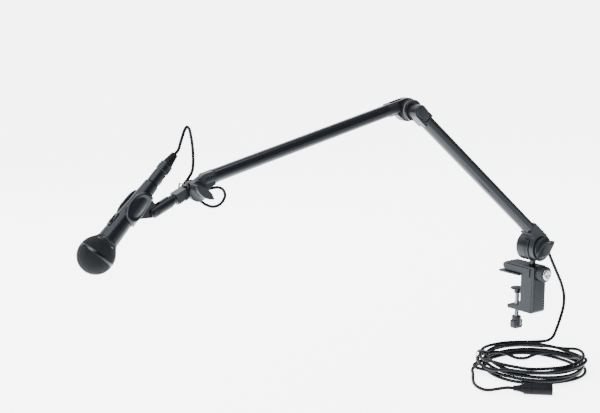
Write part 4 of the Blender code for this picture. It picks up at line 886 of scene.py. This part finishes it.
def make_socket(axis):
    r, start = 8.65, 40.6
    outer = rounded([(0, start), (r, start), (r, HEAD_SPAN + r + 1), (0, HEAD_SPAN + r + 1)], 0.8)
    socket = turned("tilt_fork", outer, axis)
    side = ([(start - 1, STUD_LIFT - r - 0.3)] + arc((HEAD_SPAN, STUD_LIFT), r + 0.3, -90, 90, 24)
            + [(start - 1, STUD_LIFT + r + 0.3)])
    combine(socket, prism("side", side, HEAD_Y - 12, HEAD_Y + 12, HEAD), "INTERSECT")
    tilt = HEAD @ Matrix.Translation((HEAD_SPAN, STUD_LIFT, HEAD_Y))
    bore = [(0, -12), (4.0, -12), (4.0, -7.0), (2.2, -7.0), (2.2, 7.0), (4.0, 7.0), (4.0, 12), (0, 12)]
    slot = box_outline(HEAD_SPAN - 10.5, STUD_LIFT - 12, HEAD_SPAN + 12, STUD_LIFT + 12)
    cut(socket, [prism("slot", slot, HEAD_Y - 4.3, HEAD_Y + 4.3, HEAD), drill(5.1, 38, 53, axis),
                     turned("bore", bore, tilt)])
    show(cast(socket, 0.3, 3), "clip_socket")
    pan = [(0, -8.7), (2.4, -8.5), (3.3, -8.0), (3.6, -7.3), (1.9, -7.3), (1.9, 7.0), (0, 7.0)]
    screw = turned("tilt_screw", pan, tilt)
    cut(screw, crossed(2.3, 0.4, -9.5, -7.8, tilt))
    show(screw, "clip_screw", finish="black_fitting")
    nut = prism("tilt_nut", arc((0, 0), 3.7, 0, 300, 5), 7.3, 8.4, tilt)
    show(soften(cut(nut, drill(2.2, 7, 9, tilt)), 0.15), "clip_nut")


# ---- clip and microphone -------------------------------------------------------------------
def handle_radius(along):
    return 14.75 + (10.1 - 14.75) * (along - 25.0) / (HANDLE_TAIL - 25.0)


def clip_wall(along, heading, radius):
    """Wall thickness of the clip: an oval dish with a raised rim on each cheek, lips at the mouth."""
    wall = 3.0
    for cheek in (-90.0, 90.0):
        reach = math.hypot((along - 84.0) / 21.5, math.radians(heading - cheek) * radius / 12.0)
        wall += 1.3 * math.exp(-((reach - 0.95) / 0.13) ** 2)
        wall -= 0.9 * min(1.0, max(0.0, (0.86 - reach) / 0.16))
    return wall


def make_clip():
    spread = [(60, 80), (65, 50), (71, 30), (95, 30), (103, 50), (108, 80)]
    sections = []
    for along in np.arange(60.0, 108.01, 0.8):
        mouth = float(np.interp(along, [s for s, _ in spread], [m for _, m in spread]))
        inner = handle_radius(along) + 0.35
        headings = np.linspace(-180 + mouth, 180 - mouth, 90)
        edge = 0.9 * math.exp(-min(along - 60.0, 108.0 - along) / 0.8)
        outside = []
        for heading in headings:
            rim = math.exp(-((180 - mouth) - abs(heading)) / 4.0)
            r = inner + clip_wall(along, heading, inner) - edge - 0.9 * rim
            a = math.radians(heading)
            outside.append((along, r * math.cos(a), r * math.sin(a) + HEAD_Y))
        inside = [(along, inner * math.cos(math.radians(h)), inner * math.sin(math.radians(h)) + HEAD_Y)
                  for h in headings[::-1]]
        sections.append(outside + inside)
    cradle = lofted("clip_cradle", sections, MIC)
    tail = [(72.0, 13.2)] + arc((TILT_ALONG, TILT_ACROSS), 8.0, 135, -25, 24) + [(106.0, 13.2)]
    join(cradle, prism("tongue", tail, HEAD_Y - 4.0, HEAD_Y + 4.0, MIC))
    bore = drill(2.2, HEAD_Y - 12, HEAD_Y + 12, MIC @ Matrix.Translation((TILT_ALONG, TILT_ACROSS, 0)))
    show(cast(cut(cradle, bore), 0.4, 4), "mic_clip")


def wires(name, strands, radius):
    """Round wires along strands, each a pair of arrays: points and outward normals, in local space."""
    corners = 6
    verts, faces = [], []
    for points, normals in strands:
        along = np.gradient(points, axis=0)
        along /= np.linalg.norm(along, axis=1)[:, None]
        beside = np.cross(along, normals)
        beside /= np.linalg.norm(beside, axis=1)[:, None]
        above = np.cross(beside, along)
        base = len(verts)
        for i in range(len(points)):
            for k in range(corners):
                a = 2 * math.pi * k / corners
                verts.append(points[i] + radius * (math.cos(a) * beside[i] + math.sin(a) * above[i]))
        for i in range(len(points) - 1):
            for k in range(corners):
                m, row = (k + 1) % corners, base + i * corners
                faces.append((row + k, row + m, row + corners + m, row + corners + k))
        faces.append(tuple(range(base, base + corners))[::-1])
        faces.append(tuple(range(base + (len(points) - 1) * corners, base + len(points) * corners)))
    world = [tuple((MIC_AXIS @ Vector(v)) * MM) for v in verts]
    mesh = bpy.data.meshes.new(name)
    mesh.from_pydata(world, [], faces)
    mesh.shade_smooth()
    return placed(name, mesh)


def front_weave(radius, pitch, wire):
    """Two crossing families of wires over the front of the ball, spaced evenly from its pole."""
    strands, reach = [], math.radians(85.4)
    lines = int(radius * reach / pitch)
    for i in range(-lines, lines + 1):
        limit = math.sqrt(max(0.0, (radius * reach) ** 2 - (i * pitch) ** 2))
        if limit < pitch:
            continue
        run = np.linspace(-limit, limit, int(2 * limit / 0.42))
        for family in (0, 1):
            u, v = (np.full(len(run), i * pitch), run) if family == 0 else (run, np.full(len(run), i * pitch))
            far = np.maximum(np.hypot(u, v), 1e-6)
            theta = far / radius
            normal = np.stack([np.sin(theta) * u / far, np.sin(theta) * v / far, -np.cos(theta)], axis=1)
            wave = np.cos(np.pi * (run / pitch + i)) * wire * (1 if family == 0 else -1)
            strands.append((normal * (radius - wire + wave)[:, None], normal))
    return strands


def rear_weave(profile, count, wire):
    """Two crossing families of helices on the tapering rear of the ball."""
    radii, heights = np.array(profile).T
    length = np.concatenate([[0.0], np.cumsum(np.hypot(np.diff(radii), np.diff(heights)))])
    run = np.linspace(0.0, length[-1], int(length[-1] / 0.42))
    r, h = np.interp(run, length, radii), np.interp(run, length, heights)
    twist = np.concatenate([[0.0], np.cumsum(np.diff(run) / r[1:])])
    slope_r, slope_h = np.gradient(r, run), np.gradient(h, run)
    strands = []
    for i in range(count):
        for turn in (1, -1):
            a = 2 * math.pi * i / count + turn * twist
            normal = np.stack([slope_h * np.cos(a), slope_h * np.sin(a), -slope_r], axis=1)
            spine = np.stack([r * np.cos(a), r * np.sin(a), h], axis=1)
            wave = turn * np.cos(count * twist) * wire - wire
            strands.append((spine + normal * wave[:, None], normal))
    return strands


def mic_block(name, reach, half_width, corner, low, high):
    """A round-cornered block on the microphone: reach is its stretch along the body, and low and
    high are its heights off the axis towards the switch."""
    outline = rounded_box(reach[0], HEAD_Y - half_width, reach[1], HEAD_Y + half_width, corner)
    return prism(name, outline, low, high, MIC_FLAT)


def make_mic():
    axis, r = MIC_AXIS, 25.0
    show(wires("grille_weave_front", front_weave(r, 2.3, 0.36), 0.40), "grille_front")
    taper = [(25.0, 2.0), (24.9, 4.9), (24.5, 7.3), (23.4, 11.0), (21.0, 15.6), (18.0, 19.8), (15.5, 23.2)]
    show(wires("grille_weave_back", rear_weave(taper, 48, 0.36), 0.40), "grille_back")
    band = rounded([(r - 1.2, -2.1), (r + 0.4, -2.1), (r + 0.7, 0.0), (r + 0.4, 2.1), (r - 1.2, 2.1)], 0.5, 4)
    show(turned("nickel_ring", band, axis, closed=True, steps=128), "grille_band")
    collar = [(12.6, 23.6), (15.4, 23.6), (15.6, 24.0), (15.6, 25.0), (15.2, 25.3), (12.6, 25.3)]
    bright = turned("bright_collar", rounded(collar, 0.25), axis, closed=True, steps=96)
    show(bright, "grille_collar", finish="grille_bright")

    wall, front, tail = 1.6, 25.6, HANDLE_TAIL
    outer = [(handle_radius(front) - 0.6, front), (handle_radius(front + 0.8), front + 0.8)]
    outer += [(handle_radius(a), a) for a in np.linspace(30.0, tail - 1.2, 24)] + [(9.3, tail)]
    inner = [(8.6, tail), (8.6, 104.0), (handle_radius(100.0) - wall - 0.4, 100.0),
             (handle_radius(60.0) - wall, 60.0), (handle_radius(front) - wall - 0.6, front)]
    body = turned("handle_shell", outer + inner, axis, closed=True, steps=128)
    pocket = mic_block("pocket", (41.0, 61.0), 4.4, 2.0, 12.2, 18.0)
    show(cut(body, pocket), "mic_handle")
    plate = mic_block("switch_bezel", (41.3, 60.7), 4.1, 1.8, 12.5, 14.5)
    window = mic_block("window", (45.5, 56.5), 2.2, 0.8, 13.3, 18)
    show(soften(cut(plate, window), 0.25), "switch_plate")
    slider = mic_block("switch_slider", (46.0, 51.0), 1.9, 0.7, 13.6, 16.2)
    ridges = [prism("ridge", box_outline(start, HEAD_Y - 3, start + 0.4, HEAD_Y + 3), 15.6, 17, MIC_FLAT)
              for start in (46.9, 47.9, 48.9, 49.9)]
    show(soften(cut(slider, ridges), 0.12), "mic_switch")


# ---- plugs ---------------------------------------------------------------------------------
def ribbed_boot(points, bore, first, last, pitch, depth):
    """A bend relief's closed profile: a tapering outline with grooves between two heights."""
    heights, radii = [h for _, h in points], [r for r, _ in points]
    order = np.argsort(heights)
    outer = []
    for h in np.linspace(min(heights), max(heights), 150):
        r = float(np.interp(h, np.array(heights)[order], np.array(radii)[order]))
        if first < h < last and ((h - first) / pitch) % 1.0 > 0.5:
            r -= depth
        outer.append((r, float(h)))
    return outer + [(bore, max(heights)), (bore, min(heights))]


def make_mic_plug():
    start = HANDLE_TAIL + 0.3
    shell = [(7.0, 111.4), (7.9, 111.4), (7.9, start), (8.4, start), (8.9, start + 0.5), (8.9, 141.6),
             (8.1, 142.0), (8.1, 143.6), (9.1, 144.0), (9.5, 144.5), (9.5, 151.8), (8.8, 152.2),
             (8.8, 153.0), (9.3, 153.5), (9.2, 156.0), (8.5, 156.7), (6.8, 156.7), (6.8, 127.0), (7.0, 127.0)]
    sleeve = turned("plug_sleeve", shell, MIC_AXIS, closed=True, steps=96)
    hole = mic_block("hole", (128.0, 135.6), 2.9, 1.3, -12, -5)
    show(cut(sleeve, hole), "plug_shell")
    taper = [(7.6, 157.0), (7.0, 160.0), (5.6, 170.0), (4.8, 174.6)]
    relief = turned("plug_relief", ribbed_boot(taper, 2.8, 160.0, 173.6, 2.3, 0.7), MIC_AXIS, closed=True)
    show(relief, "plug_boot")
    button = mic_block("latch_button", (128.3, 135.3), 2.6, 1.2, -9.9, -7.9)
    show(soften(button, 0.5, 3), "plug_latch")


def make_end_plug():
    shell = [(8.4, 0), (9.2, 0), (9.5, -0.5), (9.5, -20.0), (9.2, -20.3), (9.2, -20.9), (9.5, -21.2),
             (9.5, -32.8), (8.9, -33.2), (8.9, -33.8), (9.4, -34.2), (9.0, -45.0), (8.4, -45.7),
             (6.6, -45.7), (6.6, -26.0), (8.4, -26.0)]
    sleeve = turned("end_plug_sleeve", shell, END_PLUG, closed=True, steps=96)
    grips = []
    for i in range(12):
        place = END_PLUG @ Matrix.Rotation(2 * math.pi * i / 12, 4, "Z") @ Matrix.Translation((10.2, 0, 0))
        grips.append(turned("grip", rounded(rod(1.3, -44.0, -35.6), 0.6), place, steps=20))
    show(cut(sleeve, grips), "end_plug_shell", finish="rubber")
    taper = [(7.4, -46.0), (6.8, -49.0), (5.0, -58.5), (4.6, -62.0)]
    relief = turned("end_plug_relief", ribbed_boot(taper, 3.0, -61.0, -49.0, 2.3, 0.7), END_PLUG, closed=True)
    show(relief, "end_plug_boot")
    return sleeve, relief


def make_coil_tie():
    """A strap drawn round the coil's strands where they are gathered."""
    x, y = COIL_CENTRE
    strands = [(math.hypot(p[0] - x, p[1] - y), p[2]) for p in main_cable_path()
               if abs(math.degrees(math.atan2(p[1] - y, p[0] - x)) - COIL_TIE_HEADING) < 3.5 and p[2] < -100]
    reach = MAIN_RADIUS + 0.25
    low, high = min(r for r, _ in strands) - reach, max(r for r, _ in strands) + reach
    bottom, top = FLOOR_Z + 0.1, max(z for _, z in strands) + reach
    base = upright(x, y) @ Matrix.Rotation(math.radians(COIL_TIE_HEADING), 4, "Z") @ STAND
    wrap = prism("coil_strap", rounded_box(low - 1.1, bottom, high + 1.1, top + 1.1, 5, 8), -5, 5, base)
    opening = prism("opening", rounded_box(low, bottom + 0.9, high, top, 4, 8), -8, 8, base)
    cut(wrap, opening)
    tab = prism("tab", rounded_box(high - 14, top + 1.0, high - 2, top + 2.1, 0.4), -4.6, 4.6, base)
    show(soften(join(wrap, tab), 0.3), "coil_tie")


# ---- assembly ------------------------------------------------------------------------------
FINISH = {slot: grained(*values) for slot, values in FINISHES.items()}
make_camera()
make_studio()
end_sleeve, end_relief = make_end_plug()
make_cords()
make_clamp()
make_swivel()
wing_knob("base_wing", "base_knob", BASE, 20.0, (-52.6, -56.0, -67.0), (21.0, 7.4, 144.0), (4.5, -61.0))
wing_knob("head_wing", "head_knob", arm_frame(HEAD_POINT, 0.0), 15.0, (-25.4, -28.8, -44.3),
          (18.7, 6.4, 216.4), (3.3, -37.0))
make_lower_arm()
make_upper_arm()
make_head()
make_clip()
make_mic()
make_mic_plug()
make_coil_tie()
for node, item in frame["nodes"].items():
    item.data.materials.clear()
    item.data.materials.append(FINISH[SLOT_OF[node]])
